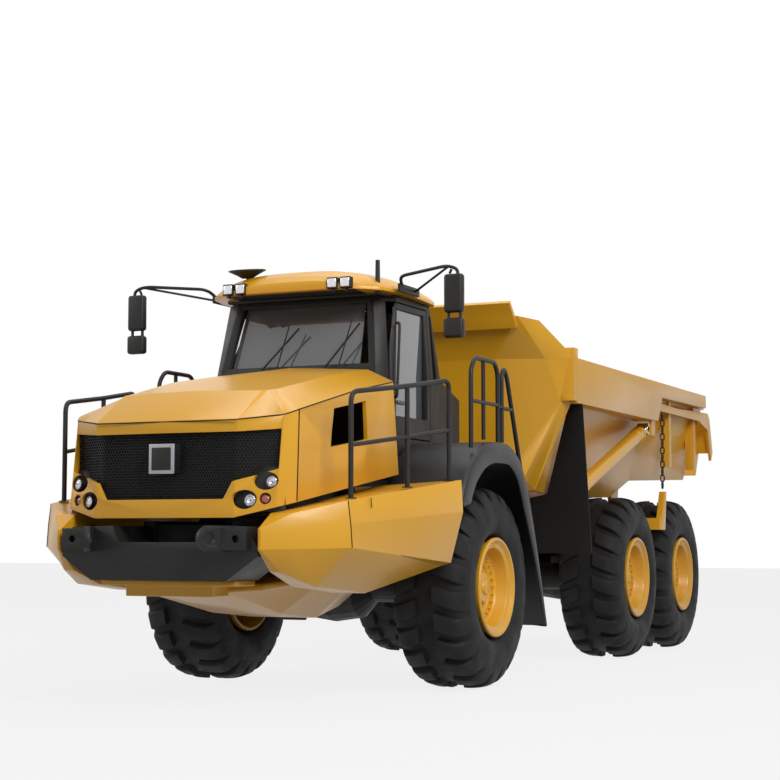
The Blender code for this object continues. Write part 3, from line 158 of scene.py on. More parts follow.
# Galvanised and blackened chain links.
CHAIN_STEEL = finish("blackened_chain_steel", "3A3530", "2A2622", scale=40.0, roughness=(0.4, 0.65),
                     grain=500.0, bump=0.3, depth=0.0008, Metallic=0.8)
# Aluminium reflector bowls in the lamps.
REFLECTOR = finish("aluminised_reflector", "E6E4E6", "D2CED4", scale=60.0, roughness=(0.08, 0.2), grain=200.0,
                   bump=0.1, depth=0.0005, Metallic=1.0)
# Silvered mirror behind clear glass.
MIRROR = finish("silvered_mirror_glass", "C8CCD0", "BEC2C8", scale=2.0, roughness=(0.02, 0.04), grain=100.0,
                bump=0.0, Metallic=1.0)
# Woven seat cloth over foam: dark, matt, with a soft sheen.
CLOTH = finish("woven_seat_cloth", "2C2D31", "222327", scale=14.0, roughness=(0.85, 0.95), grain=900.0,
               bump=0.6, depth=0.0015, Sheen_Weight=0.35)
# Red lens of the side marker lamps, in acrylic.
RED_LENS = finish("red_acrylic_lens", "B5584E", "A04438", scale=20.0, roughness=(0.12, 0.2), grain=150.0,
                  bump=0.3, depth=0.001, Coat_Weight=0.6)
# Satin silver trim of the blank badge plate.
TRIM = finish("satin_chrome_trim", "A8A8AC", "8E8E94", scale=20.0, roughness=(0.2, 0.32), grain=260.0,
              bump=0.08, depth=0.0004, Metallic=0.9)


def glass(name, tint, roughness, density):
    """Sheet that passes part of the light: tint by its base colour, gloss by its coat."""
    made = finish(name, tint, tint, scale=1.0, roughness=roughness, grain=3.0, bump=0.01, depth=0.0003,
                  IOR=1.5)
    shader = made.node_tree.nodes["Principled BSDF"]
    shader.inputs["Transmission Weight"].default_value = density
    shader.inputs["Coat Weight"].default_value = 1.0
    shader.inputs["Coat Roughness"].default_value = 0.02
    return made


# Grey-tinted laminated glass: mostly dark, with the sky on it.
CAB_GLASS = glass("tinted_laminated_glass", "6E7074", (0.02, 0.03), 0.35)
# Clear moulded lens of the work lamps.
LENS = glass("clear_lamp_lens", "F2F0F4", (0.04, 0.08), 0.95)


# ---------------------------------------------------------------- surfaces
class Skin:
    """Vertices and faces of several surfaces, gathered to make one mesh."""

    def __init__(self):
        self.points = []
        self.quads = []
        self.fans = []
        self.count = 0

    def grid(self, points, round_u=False, round_v=False, caps=False):
        """Quads between the neighbours of points[i, j].

        round_u or round_v joins the last row or column to the first.  caps closes the first and
        last row with a fan to its middle.  A closed surface is turned so that its volume is
        positive, which points its faces outwards."""
        rows, columns, _ = points.shape
        index = np.arange(rows * columns).reshape(rows, columns)
        if round_u:
            index = np.vstack([index, index[:1]])
        if round_v:
            index = np.hstack([index, index[:, :1]])
        quads = np.stack([index[:-1, :-1], index[1:, :-1], index[1:, 1:], index[:-1, 1:]], -1).reshape(-1, 4)
        flat = points.reshape(-1, 3)
        fans = np.zeros((0, 3), int)
        if caps:
            ends = []
            for row, turn in ((index[0], 1), (index[-1], -1)):
                tip = len(flat)
                flat = np.vstack([flat, points[0 if turn == 1 else -1].mean(0)])
                ring = np.stack([row[:-1], row[1:]], -1)[:, ::turn]
                ends.append(np.hstack([ring, np.full((len(ring), 1), tip)]))
            fans = np.vstack(ends)
        origin = flat.mean(0)
        tris = np.vstack([quads[:, [0, 1, 2]], quads[:, [0, 2, 3]], fans])
        a, b, c = (flat[tris[:, k]] - origin for k in range(3))
        if (a * np.cross(b, c)).sum() < 0:
            quads = quads[:, ::-1]
            fans = fans[:, ::-1]
        self.points.append(flat)
        self.quads.append(quads + self.count)
        self.fans.append(fans + self.count)
        self.count += len(flat)
        return self

    def moved(self, function):
        """A copy of this skin with every vertex put through a function of the whole array."""
        made = Skin()
        made.points = [function(np.vstack(self.points))]
        made.quads = [np.vstack(self.quads)]
        made.fans = [np.vstack(self.fans)]
        made.count = self.count
        a, b, c, _ = (made.points[0][made.quads[0][:, k]] for k in range(4))
        before = np.vstack(self.points)
        d, e, f = (before[made.quads[0][:, k]] for k in range(3))
        if ((a * np.cross(b, c)).sum()) * ((d * np.cross(e, f)).sum()) < 0:
            made.quads[0] = made.quads[0][:, ::-1]
            made.fans[0] = made.fans[0][:, ::-1]
        return made

    def piece(self, name, material, body, slot, *nodes, smooth=35):
        """Make the object, give it its finish, hang it on its body and hide what it stands for."""
        points = np.vstack(self.points)
        quads = np.vstack(self.quads)
        fans = np.vstack(self.fans)
        mesh = bpy.data.meshes.new(name)
        mesh.from_pydata(points.tolist(), [], quads.tolist() + fans.tolist())
        return put(name, mesh, material, body, nodes, smooth)


def put(name, mesh, material, body, nodes=(), smooth=35):
    mesh.update()
    mesh.materials.clear()
    mesh.materials.append(material)
    mesh.shade_smooth()
    mesh.set_sharp_from_angle(angle=math.radians(smooth))
    made = bpy.data.objects.new(name, mesh)
    bpy.context.scene.collection.objects.link(made)
    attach(made, body)
    if nodes:
        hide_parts(*nodes)
    return made


def finished_copy(node, name, material, body, bevel=0.008, segments=2, angle=25):
    """The CAD node's own mesh, merged, with its flat faces made whole and its edges rounded."""
    source = bpy.data.objects[node]
    shape = bmesh.new()
    shape.from_mesh(source.data)
    bmesh.ops.remove_doubles(shape, verts=shape.verts, dist=0.00004)
    bmesh.ops.dissolve_limit(shape, angle_limit=math.radians(0.6), verts=shape.verts, edges=shape.edges)
    mesh = bpy.data.meshes.new(name)
    shape.to_mesh(mesh)
    shape.free()
    made = put(name, mesh, material, body, (node,), smooth=180)
    edge = made.modifiers.new("edge", "BEVEL")
    edge.width = bevel
    edge.segments = segments
    edge.limit_method = "ANGLE"
    edge.angle_limit = math.radians(angle)
    edge.harden_normals = True
    edge.miter_outer = "MITER_ARC"
    return made


def frames_along(path):
    """Unit tangents of a path, and two normals that turn with it as little as they can."""
    tangents = np.gradient(path, axis=0)
    tangents /= np.linalg.norm(tangents, axis=1)[:, None]
    start = np.array((0.0, 0.0, 1.0)) if abs(tangents[0][2]) < 0.9 else np.array((1.0, 0.0, 0.0))
    normals = []
    normal = start
    for tangent in tangents:
        normal = normal - tangent * (normal @ tangent)
        normal = normal / np.linalg.norm(normal)
        normals.append(normal)
    normals = np.array(normals)
    return tangents, normals, np.cross(tangents, normals)


def soften(points, radius, steps=6):
    """A path through points whose corners are quadratic arcs that start a radius away."""
    points = np.array(points, float)
    path = [points[0]]
    share = np.linspace(0, 1, steps)[:, None]
    for before, corner, after in zip(points, points[1:], points[2:]):
        reach_in = min(radius, np.linalg.norm(before - corner) * 0.45)
        reach_out = min(radius, np.linalg.norm(after - corner) * 0.45)
        start = corner + (before - corner) / np.linalg.norm(before - corner) * reach_in
        end = corner + (after - corner) / np.linalg.norm(after - corner) * reach_out
        path.extend((1 - share) ** 2 * start + 2 * share * (1 - share) * corner + share ** 2 * end)
    path.append(points[-1])
    return np.array(path)


def tube(skin, path, radius, sides=12):
    """A round tube: circle points on the two normals of each point of the path."""
    _, first, second = frames_along(path)
    turn = np.linspace(0, 2 * np.pi, sides, endpoint=False)
    ring = np.cos(turn)[None, :, None] * first[:, None] + np.sin(turn)[None, :, None] * second[:, None]
    size = np.broadcast_to(np.asarray(radius, float), (len(path),))[:, None, None]
    return skin.grid(path[:, None] + ring * size, round_v=True, caps=True)


def turned(skin, profile, centre, axis, sides=48, closed=True):
    """A profile of (along, radius) carried round an axis; closed joins its last point to its first."""
    profile = np.array(profile, float)
    axis = np.array(axis, float) / np.linalg.norm(axis)
    helper = np.array((0.0, 0.0, 1.0)) if abs(axis[2]) < 0.9 else np.array((1.0, 0.0, 0.0))
    first = np.cross(axis, helper)
    first /= np.linalg.norm(first)
    second = np.cross(axis, first)
    turn = np.linspace(0, 2 * np.pi, sides, endpoint=False)
    ring = np.cos(turn)[:, None] * first + np.sin(turn)[:, None] * second
    points = (np.array(centre) + profile[:, 0][:, None, None] * axis
              + profile[:, 1][:, None, None] * ring[None])
    return skin.grid(points, round_u=closed, round_v=True, caps=not closed)


def rounded_box(skin, low, high, edge, steps=3):
    """A box with rounded edges: a ball's quarter caps pushed apart to the box's corners."""
    low = np.array(low, float)
    high = np.array(high, float)
    edge = min(edge, float((high - low).min()) * 0.499)
    inner = (high - low) / 2 - edge
    quarter = np.linspace(0, np.pi / 2, steps + 1)
    rise = np.concatenate([quarter - np.pi / 2, quarter])
    lift = np.repeat([-1.0, 1.0], steps + 1)
    turn = np.concatenate([quarter + k * np.pi / 2 for k in range(4)])
    sign_x = np.repeat([1.0, -1.0, -1.0, 1.0], steps + 1)
    sign_y = np.repeat([1.0, 1.0, -1.0, -1.0], steps + 1)
    flat = np.cos(rise)[:, None]
    x = edge * flat * np.cos(turn) + inner[0] * sign_x
    y = edge * flat * np.sin(turn) + inner[1] * sign_y
    z = edge * np.sin(rise)[:, None] + inner[2] * lift[:, None] + 0 * turn
    points = np.stack([np.broadcast_to(x, z.shape), np.broadcast_to(y, z.shape), z], -1)
    return skin.grid(points + (low + high) / 2, round_v=True, caps=True)


def block(skin, low, high, edge, steps=3):
    """A rounded box between two corners given from the front axle."""
    return rounded_box(skin, at(low)[0], at(high)[0], edge, steps)


def bolt_ring(skin, centre, axis, circle, count, radius, height):
    """Hexagon bolt heads on a circle, each a short turned prism of six sides."""
    axis = np.array(axis, float)
    helper = np.array((0.0, 0.0, 1.0)) if abs(axis[2]) < 0.9 else np.array((1.0, 0.0, 0.0))
    first = np.cross(axis, helper)
    second = np.cross(axis, first)
    for turn in np.linspace(0, 2 * np.pi, count, endpoint=False):
        place = np.array(centre) + circle * (math.cos(turn) * first + math.sin(turn) * second)
        turned(skin, [(0, radius), (height * 0.75, radius), (height, radius * 0.8)], place, axis, 6, False)
    return skin


# ---------------------------------------------------------------- wheels
TYRE_RADIUS = float(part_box("wheel_front_left")[1][2]) / 2
HALF_TYRE = float(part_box("wheel_front_left")[1][0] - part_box("wheel_front_left")[0][0]) / 2
BEAD_RADIUS = 0.425
LUG_HEIGHT = 0.058
LUGS = 22


def carcass(turn, grow=0.0):
    """The tyre's section as a rounded box: powers of cosine and sine, (along the axle, radius)."""
    top = TYRE_RADIUS - LUG_HEIGHT
    middle = (top + BEAD_RADIUS) / 2
    tall = (top - BEAD_RADIUS) / 2
    cosine = np.cos(turn)
    sine = np.sin(turn)
    along = (HALF_TYRE - 0.012 + 0.2 * grow) * np.sign(cosine) * np.abs(cosine) ** 0.55
    radius = middle + (tall + grow) * np.sign(sine) * np.abs(sine) ** 0.72
    return along, radius


def tyre_skin():
    """Carcass, sidewall ribs and two rows of swept lugs, about the X axis at the origin."""
    skin = Skin()
    turn = np.linspace(0, 2 * np.pi, 72, endpoint=False)
    along, radius = carcass(turn)
    for rib, height in ((0.60, 0.004), (0.50, 0.006)):
        along = along + np.sign(along) * height * np.exp(-((radius - rib) / 0.012) ** 2)
    along = np.clip(along, -HALF_TYRE + 0.001, HALF_TYRE - 0.001)
    turned(skin, np.stack([along, radius], -1), (0, 0, 0), (1, 0, 0), 96)
    # a lug runs from near the middle of the tread over the shoulder and down the side
    sweep = np.linspace(math.radians(86), math.radians(22), 14)
    outer_a, outer_r = carcass(sweep, LUG_HEIGHT - 0.001)
    inner_a, inner_r = carcass(sweep, -0.01)
    outer_a = np.clip(outer_a, 0, HALF_TYRE - 0.0005)
    fade = np.clip((sweep - math.radians(20)) / math.radians(30), 0, 1)
    outer_a = inner_a + (outer_a - inner_a) * fade + 0.004 * (1 - fade)
    outer_r = inner_r + (outer_r - inner_r) * fade
    across = outer_a / HALF_TYRE
    half_angle = 0.082 + 0.018 * across
    lean = 0.15 * (1 - across) ** 1.3
    # corners of the section: share of the half angle, share of the height
    section = np.array([(-1.12, 0), (-1.0, 0.8), (-0.9, 0.96), (-0.7, 1.0), (0.7, 1.0), (0.9, 0.96),
                        (1.0, 0.8), (1.12, 0)])
    for number in range(LUGS):
        for side, shift in ((1, 0.0), (-1, 0.5)):
            start = (number + shift) * 2 * np.pi / LUGS
            a = inner_a[:, None] + (outer_a - inner_a)[:, None] * section[:, 1]
            r = inner_r[:, None] + (outer_r - inner_r)[:, None] * section[:, 1]
            angle = start + lean[:, None] + half_angle[:, None] * section[:, 0]
            points = np.stack([side * a, r * np.sin(angle), r * np.cos(angle)], -1)
            skin.grid(points, round_v=True, caps=True)
    return skin


def rim_skin():
    """The rim from its rolled lip down a deep cone to the disc, with hub steps and bolts."""
    skin = Skin()
    lip = HALF_TYRE - 0.02
    front = [(lip - 0.04, 0.447), (lip - 0.012, 0.452), (lip, 0.442), (lip, 0.425), (lip - 0.014, 0.412),
             (lip - 0.03, 0.398), (lip - 0.036, 0.372), (lip - 0.042, 0.360), (lip - 0.06, 0.352),
             (0.21, 0.338),
             (0.195, 0.330), (0.188, 0.318), (0.186, 0.30), (0.186, 0.235), (0.176, 0.222), (0.16, 0.215),
             (0.16, 0.03)]
    back = [(0.02, 0.03), (0.02, 0.30), (-0.10, 0.36), (-lip + 0.06, 0.385), (-lip, 0.42), (-lip, 0.442),
            (-lip + 0.02, 0.45), (-lip + 0.04, 0.447), (-lip + 0.05, 0.41), (lip - 0.05, 0.41)]
    turned(skin, front + back, (0, 0, 0), (1, 0, 0), 96)
    hub = [(0.15, 0.19), (0.172, 0.19), (0.180, 0.182), (0.182, 0.15), (0.215, 0.142), (0.225, 0.132),
           (0.228, 0.07), (0.245, 0.062), (0.25, 0.05)]
    turned(skin, hub, (0, 0, 0), (1, 0, 0), 64, False)
    bolt_ring(skin, (0.186, 0, 0), (1, 0, 0), 0.275, 24, 0.015, 0.024)
    bolt_ring(skin, (0.182, 0, 0), (1, 0, 0), 0.166, 12, 0.010, 0.012)
    turned(skin, [(lip - 0.05, 0.012), (lip - 0.03, 0.012), (lip - 0.02, 0.006)], (0, 0, 0.384), (1, 0, 0),
           10,
           False)
    return skin


TYRE = tyre_skin()
RIM = rim_skin()
for axle in ("front", "mid", "rear"):
    for side_name, side in SIDES:
        node = "wheel_" + axle + "_" + side_name
        centre = middle_of(node)


        def on_axle(points):
            return points * (side, 1, 1) + centre
        TYRE.moved(on_axle).piece("tyre_" + axle + "_" + side_name, RUBBER, node, "tyre", node)
        RIM.moved(on_axle).piece("rim_" + axle + "_" + side_name, RIM_YELLOW, node, "yellow_paint")

# ---------------------------------------------------------------- yellow and dark CAD pieces, finished
# node, finish, body, slot, edge radius, bevel steps, angle from which an edge is rounded
COPIES = (
    ("hood", YELLOW, "hood", "yellow_paint", 0.016, 3, 14),
    ("wing_left", YELLOW, "root", "yellow_paint", 0.018, 3, 15),
    ("wing_right", YELLOW, "root", "yellow_paint", 0.018, 3, 15),
    ("bed", YELLOW, "bed", "yellow_paint", 0.006, 2, 12),
    ("tailgate", YELLOW, "tailgate", "yellow_paint", 0.006, 2, 20),
    ("belly_pan", YELLOW, "root", "yellow_paint", 0.02, 3, 12),
    ("bumper_chin", YELLOW, "root", "yellow_paint", 0.01, 2, 25),
    ("bumper", CHARCOAL, "root", "charcoal_paint", 0.006, 2, 30),
    ("cab_platform", CHARCOAL, "root", "charcoal_paint", 0.006, 2, 30),
    ("cab_shell", CHARCOAL, "root", "charcoal_paint", 0.008, 2, 20),
    ("cab_door", CHARCOAL, "cab_door", "charcoal_paint", 0.008, 2, 20),
    ("service_box", CHARCOAL, "root", "charcoal_paint", 0.02, 3, 20),
    ("rear_frame", YELLOW, "rear_frame", "yellow_paint", 0.006, 2, 30),
    ("front_frame", CHASSIS, "root", "charcoal_paint", 0.006, 2, 30),
    ("hitch_yoke", YELLOW, "hitch_yoke", "yellow_paint", 0.006, 2, 30),
    ("dash_and_steering_wheel", CHARCOAL, "root", "charcoal_paint", 0.006, 2, 30),
    ("engine_block", STEEL, "root", "steel", 0.012, 2, 30),
    ("walking_beam_left", CHASSIS, "rear_frame", "charcoal_paint", 0.01, 2, 30),
    ("walking_beam_right", CHASSIS, "rear_frame", "charcoal_paint", 0.01, 2, 30),
    ("bed_flap_left", SHEET_RUBBER, "bed", "rubber", 0.004, 2, 30),
    ("bed_flap_right", SHEET_RUBBER, "bed", "rubber", 0.004, 2, 30),
    ("grille", CHARCOAL, "hood", "charcoal_paint", 0.004, 2, 30),
)
for node, paint, body, slot, width, steps, angle in COPIES:
    finished_copy(node, node + "_finished", paint, body, width, steps, angle)
# CAD nodes whose own mesh shows, and what finishes each
PAINTED_IN_PLACE = (
    (("front_axle", "mid_axle", "rear_axle", "steer_barrel_left", "steer_barrel_right"), CHASSIS),
    (("cab_glass", "cab_door_glass"), CAB_GLASS),
    (("steer_rod_left", "steer_rod_right"), CHROME),
)
for nodes, paint in PAINTED_IN_PLACE:
    for node in nodes:
        bpy.data.objects[node].data.materials.clear()
        bpy.data.objects[node].data.materials.append(paint)


# ---------------------------------------------------------------- grille net and lamps
# the grille's opening seen from ahead: across, up
MOUTH = np.array([(-0.955, 1.90), (-0.955, 2.215), (-0.655, 2.19), (0.655, 2.19), (0.955, 2.215),
                  (0.955, 1.90), (0.62, 1.80), (0.545, 1.665), (-0.545, 1.665), (-0.62, 1.80)])


def inside(points, outline):
    """Even-odd test of points against a closed outline, as whole arrays."""
    x, z = points[:, 0][:, None], points[:, 1][:, None]
    x1, z1 = outline[:, 0], outline[:, 1]
    x2, z2 = np.roll(x1, -1), np.roll(z1, -1)
    crosses = ((z1 > z) != (z2 > z)) & (x < (x2 - x1) * (z - z1) / np.where(z2 == z1, 1e-9, z2 - z1) + x1)
    return crosses.sum(1) % 2 == 1


def grille_net():
    """A honeycomb net folded to the nose: each cell gives three thin bars, bent round in plan."""
    pitch = 0.026
    rows = np.arange(1.60, 2.26, pitch * math.sqrt(3) / 2)
    columns = np.arange(-1.0, 1.0, pitch)
    u, v = np.meshgrid(columns, rows, indexing="ij")
    u = u + (np.arange(len(rows)) % 2) * pitch / 2
    cells = np.stack([u.ravel(), v.ravel()], -1)
    skin = Skin()
    reach = pitch / math.sqrt(3)
    for start, end in ((90, 30), (30, -30), (90, 150)):
        a = cells + reach * np.array([math.cos(math.radians(start)), math.sin(math.radians(start))])
        b = cells + reach * np.array([math.cos(math.radians(end)), math.sin(math.radians(end))])
        keep = inside((a + b) / 2, MOUTH)
        a, b = a[keep], b[keep]
        along = (b - a) / np.linalg.norm(b - a, axis=1)[:, None]
        side = np.stack([-along[:, 1], along[:, 0]], -1) * 0.0022
        corners = np.stack([a - side, a + side, b + side, b - side], 1)
        front = folded(corners, 0.0)
        back = folded(corners, 0.012)
        block = np.concatenate([front, back], 1).reshape(-1, 3)
        base = np.arange(len(a))[:, None, None] * 8
        faces = np.array([(0, 1, 2, 3), (0, 4, 5, 1), (2, 6, 7, 3), (1, 5, 6, 2), (3, 7, 4, 0), (7, 6, 5, 4)])
        quads = (base + faces[None]).reshape(-1, 4)
        skin.points.append(block)
        skin.quads.append(quads[:, ::-1] + skin.count)
        skin.fans.append(np.zeros((0, 3), int))
        skin.count += len(block)
    return skin


def folded(flat, back):
    """Put flat (across, up) points on the nose's plan line: straight, then swept back."""
    across = flat[..., 0]
    beyond = np.clip(np.abs(across) - 0.62, 0, None)
    y = -3.03 + beyond * 0.50 + back
    return np.stack([across, y + AXLE_Y, flat[..., 1]], -1)


grille_net().piece("grille_net", CHARCOAL, "hood", "charcoal_paint")


def badge():
    """A blank plate: a rounded trim plate with a smaller plain plate standing a little proud of its face."""
    skin = Skin()
    block(skin, (-0.118, -3.128, 1.865), (0.118, -3.105, 2.105), 0.008)
    inner = Skin()
    block(inner, (-0.088, -3.136, 1.895), (0.088, -3.122, 2.075), 0.006)
    skin.piece("badge_frame", TRIM, "hood", "chrome", smooth=40)
    inner.piece("badge_blank", CHARCOAL, "hood", "charcoal_paint", smooth=40)


badge()


def lamp(names, centre, normal, radius, body, lens=LENS):
    """A round lamp: a turned cup and bezel, a bright bowl and a domed lens."""
    cup, bowl, front = Skin(), Skin(), Skin()
    turned(cup, [(-0.04, radius * 1.12), (0.006, radius * 1.16), (0.011, radius * 1.12),
                 (0.011, radius * 1.02),
                 (0.002, radius * 0.98), (-0.035, radius * 0.98)], centre, normal, 32)
    turned(bowl, [(0.001, radius * 0.97), (-0.012, radius * 0.88), (-0.026, radius * 0.6),
                  (-0.032, radius * 0.2), (-0.036, radius * 0.2), (-0.034, radius * 0.8),
                  (-0.02, radius * 0.98)], centre, normal, 32)
    turned(front, [(0.002, radius * 0.97), (0.008, radius * 0.8), (0.012, radius * 0.4),
                   (0.013, radius * 0.05),
                   (0.009, radius * 0.05), (0.004, radius * 0.8), (-0.002, radius * 0.97)], centre, normal,
           32)
    cup.piece(names + "_bezel", CHARCOAL, body, "charcoal_paint")
    bowl.piece(names + "_bowl", REFLECTOR, body, "chrome")
    front.piece(names + "_lens", lens, body, "glass")


LAMP_DEPTH = 0.022                               # of a lamp's rim behind the face
WELL_DEPTH = 0.075


def headlamps():
    corner = at((0.64, -3.10, 1.52), (0.955, -2.99, 1.60), (0.962, -2.935, 1.965))
    normal = np.cross(corner[1] - corner[0], corner[2] - corner[0])
    normal /= np.linalg.norm(normal)
    # name, x, z, radius, lens
    places = (("high_beam", 0.906, 1.803, 0.046, LENS), ("low_beam", 0.752, 1.658, 0.048, LENS),
              ("marker", 0.868, 1.667, 0.036, RED_LENS))
    for name, x, z, radius, lens in places:
        y = corner[0][1] - (normal[0] * (x - corner[0][0]) + normal[2] * (z - corner[0][2])) / normal[1]
        for side_name, side in SIDES:
            centre = mirrored((x, y, z), side) - normal * (side, 1, 1) * LAMP_DEPTH
            lamp(name + "_" + side_name, centre, normal * (side, 1, 1), radius, "hood", lens)
    # the wells' floor, a plate behind the face in the face's own plane, in charcoal: painted shade, dark to
    # stand for the shade inside the wells
    level = np.cross((0.0, 0.0, 1.0), normal)
    level /= np.linalg.norm(level)
    face_axes = np.stack([level, np.cross(normal, level), normal])
    for side_name, side in SIDES:
        floor = Skin()
        rounded_box(floor, (-0.20, -0.18, -0.008), (0.20, 0.18, 0.008), 0.006)
        middle = corner[0] + (corner[1] - corner[0]) * 0.5 + (0.02, 0.03, 0.19) - normal * WELL_DEPTH

        def behind_face(points):
            return (points @ face_axes + middle) * (side, 1, 1)
        floor.moved(behind_face).piece("lamp_well_shade_plate_" + side_name, CHARCOAL, "hood", "charcoal_paint")


headlamps()


# ---------------------------------------------------------------- cab roof, lamps and glass trim
def roof():
    """The cap: sections across whose height falls as a power of the distance from the middle."""
    skin = Skin()
    # y, half width, brim z, top z
    stations = np.array([(-1.055, 0.30, 3.640, 3.650), (-1.05, 0.58, 3.612, 3.670),
                         (-0.98, 0.70, 3.608, 3.735),
                         (-0.86, 0.86, 3.604, 3.79), (-0.60, 0.925, 3.602, 3.815), (-0.30, 0.945, 3.60, 3.83),
                         (0.05, 0.94, 3.59, 3.815), (0.22, 0.92, 3.59, 3.79), (0.33, 0.86, 3.59, 3.73),
                         (0.355, 0.60, 3.60, 3.66)])
    fine = np.linspace(0, len(stations) - 1, 60)
    station = np.stack([np.interp(fine, np.arange(len(stations)), stations[:, k]) for k in range(4)], -1)
    across = np.sin(np.linspace(-np.pi / 2, np.pi / 2, 33))
    y, wide, brim, top = (station[:, k][:, None] for k in range(4))
    x = wide * across
    z = brim + (top - brim) * (1 - np.abs(across) ** 3.2) ** 0.8
    upper = np.stack([x, np.broadcast_to(y, x.shape), z], -1)
    lower = np.stack([x, np.broadcast_to(y, x.shape), np.broadcast_to(brim - 0.025, x.shape)], -1)[:, ::-1]
    skin.grid(np.concatenate([upper, lower], 1) + (0, AXLE_Y, 0), round_v=True, caps=True)
    skin.piece("roof_cap", YELLOW, "root", "yellow_paint", "cab_roof", smooth=50)
    band = Skin()
    block(band, (-0.80, -0.72, 3.555), (0.80, 0.26, 3.60), 0.01)
    block(band, (-0.66, -0.99, 3.575), (0.66, -0.70, 3.605), 0.008)
    band.piece("roof_band", CHARCOAL, "root", "charcoal_paint")
    dish = Skin()
    turned(dish, [(-0.03, 0.05), (0.0, 0.10), (0.03, 0.16), (0.036, 0.175), (0.045, 0.175), (0.05, 0.16),
                  (0.04, 0.02)], at((-0.52, -0.84, 3.80))[0], (0.0, -0.12, 1.0), 40, False)
    tube(dish, soften(at((-0.52, -0.80, 3.77), (-0.52, -0.82, 3.81)), 0.01), 0.03)
    block(dish, (-0.40, -0.70, 3.775), (-0.30, -0.52, 3.815), 0.015)
    dish.piece("roof_dish", CHARCOAL, "root", "charcoal_paint")


def roof_lamps():
    body, lenses = Skin(), Skin()
    for x in (-0.60, -0.47, 0.47, 0.60):
        block(body, (x - 0.055, -1.068, 3.585), (x + 0.055, -1.0, 3.69), 0.012)
        block(lenses, (x - 0.044, -1.072, 3.597), (x + 0.044, -1.055, 3.678), 0.008)
        tube(body, at((x, -1.03, 3.56), (x, -1.03, 3.60)), 0.012, 8)
    body.piece("roof_lamp_bodies", CHARCOAL, "root", "charcoal_paint")
    lenses.piece("roof_lamp_lenses", REFLECTOR, "root", "chrome")


def cab_trim():
    """Wipers, a grab bar on the left front post, the door's handle and the air post on the roof's corner."""
    skin = Skin()
    for start, end in (((0.30, -0.865, 2.90), (0.62, -0.79, 3.30)),
                       ((-0.35, -0.865, 2.90), (0.0, -0.79, 3.28))):
        tube(skin, at(start, end), 0.009, 8)
        middle = (np.array(start) + np.array(end)) / 2
        blade = at(middle - (0.02, 0.03, 0.18), middle + (0.10, 0.0, 0.24))
        tube(skin, blade, 0.007, 8)
    tube(skin, soften(at((0.93, -0.72, 2.62), (0.965, -0.74, 2.62), (0.955, -0.66, 3.30),
                         (0.915, -0.65, 3.30)),
                      0.05), 0.013)
    tube(skin, at((0.80, -0.80, 3.55), (0.80, -0.80, 3.86)), (0.024, 0.020), 14)
    skin.piece("cab_trim", CHARCOAL, "root", "charcoal_paint")
    handle = Skin()
    block(handle, (0.915, -0.66, 2.56), (0.945, -0.52, 2.60), 0.012)
    handle.piece("door_handle", STEEL, "cab_door", "steel")


roof()
roof_lamps()
cab_trim()


# ---------------------------------------------------------------- mirrors and handrails
def mirror(side_name, side):
    def place(*points):
        return at(*mirrored(points, side))
    arm = Skin()
    tube(arm, soften(place((0.965, -0.62, 3.63), (1.0, -0.76, 3.705), (1.55, -0.98, 3.735),
                           (1.655, -0.99, 3.70),
                           (1.66, -0.99, 3.62)), 0.08), 0.015, 12)
    tube(arm, place((0.965, -0.34, 3.62), (1.56, -0.975, 3.725)), 0.011, 10)
    tube(arm, soften(place((1.60, -0.99, 3.70), (1.58, -0.99, 3.66)), 0.01), 0.012, 10)
    for x in (1.57, 1.68):
        tube(arm, place((x, -0.985, 3.27), (x, -0.985, 3.33)), 0.014, 10)
    low, high = sorted((side * (0.952), side * 0.978))
    block(arm, (low, -0.70, 3.58), (high, -0.26, 3.655), 0.006)
    arm.piece("mirror_arm_" + side_name, CHARCOAL, "root", "charcoal_paint", "mirror_" + side_name)
    heads, silver = Skin(), Skin()
    for low_z, high_z, half in ((3.315, 3.655, 0.088), (3.095, 3.27, 0.093)):
        low, high = sorted((side * (1.625 - half), side * (1.625 + half)))
        block(heads, (low, -1.035, low_z), (high, -0.952, high_z), 0.028, 4)
        block(silver, (low + 0.012, -0.956, low_z + 0.014), (high - 0.012, -0.948, high_z - 0.014), 0.003)
    heads.piece("mirror_heads_" + side_name, CHARCOAL, "root", "charcoal_paint")
    silver.piece("mirror_glass_" + side_name, MIRROR, "root", "chrome")


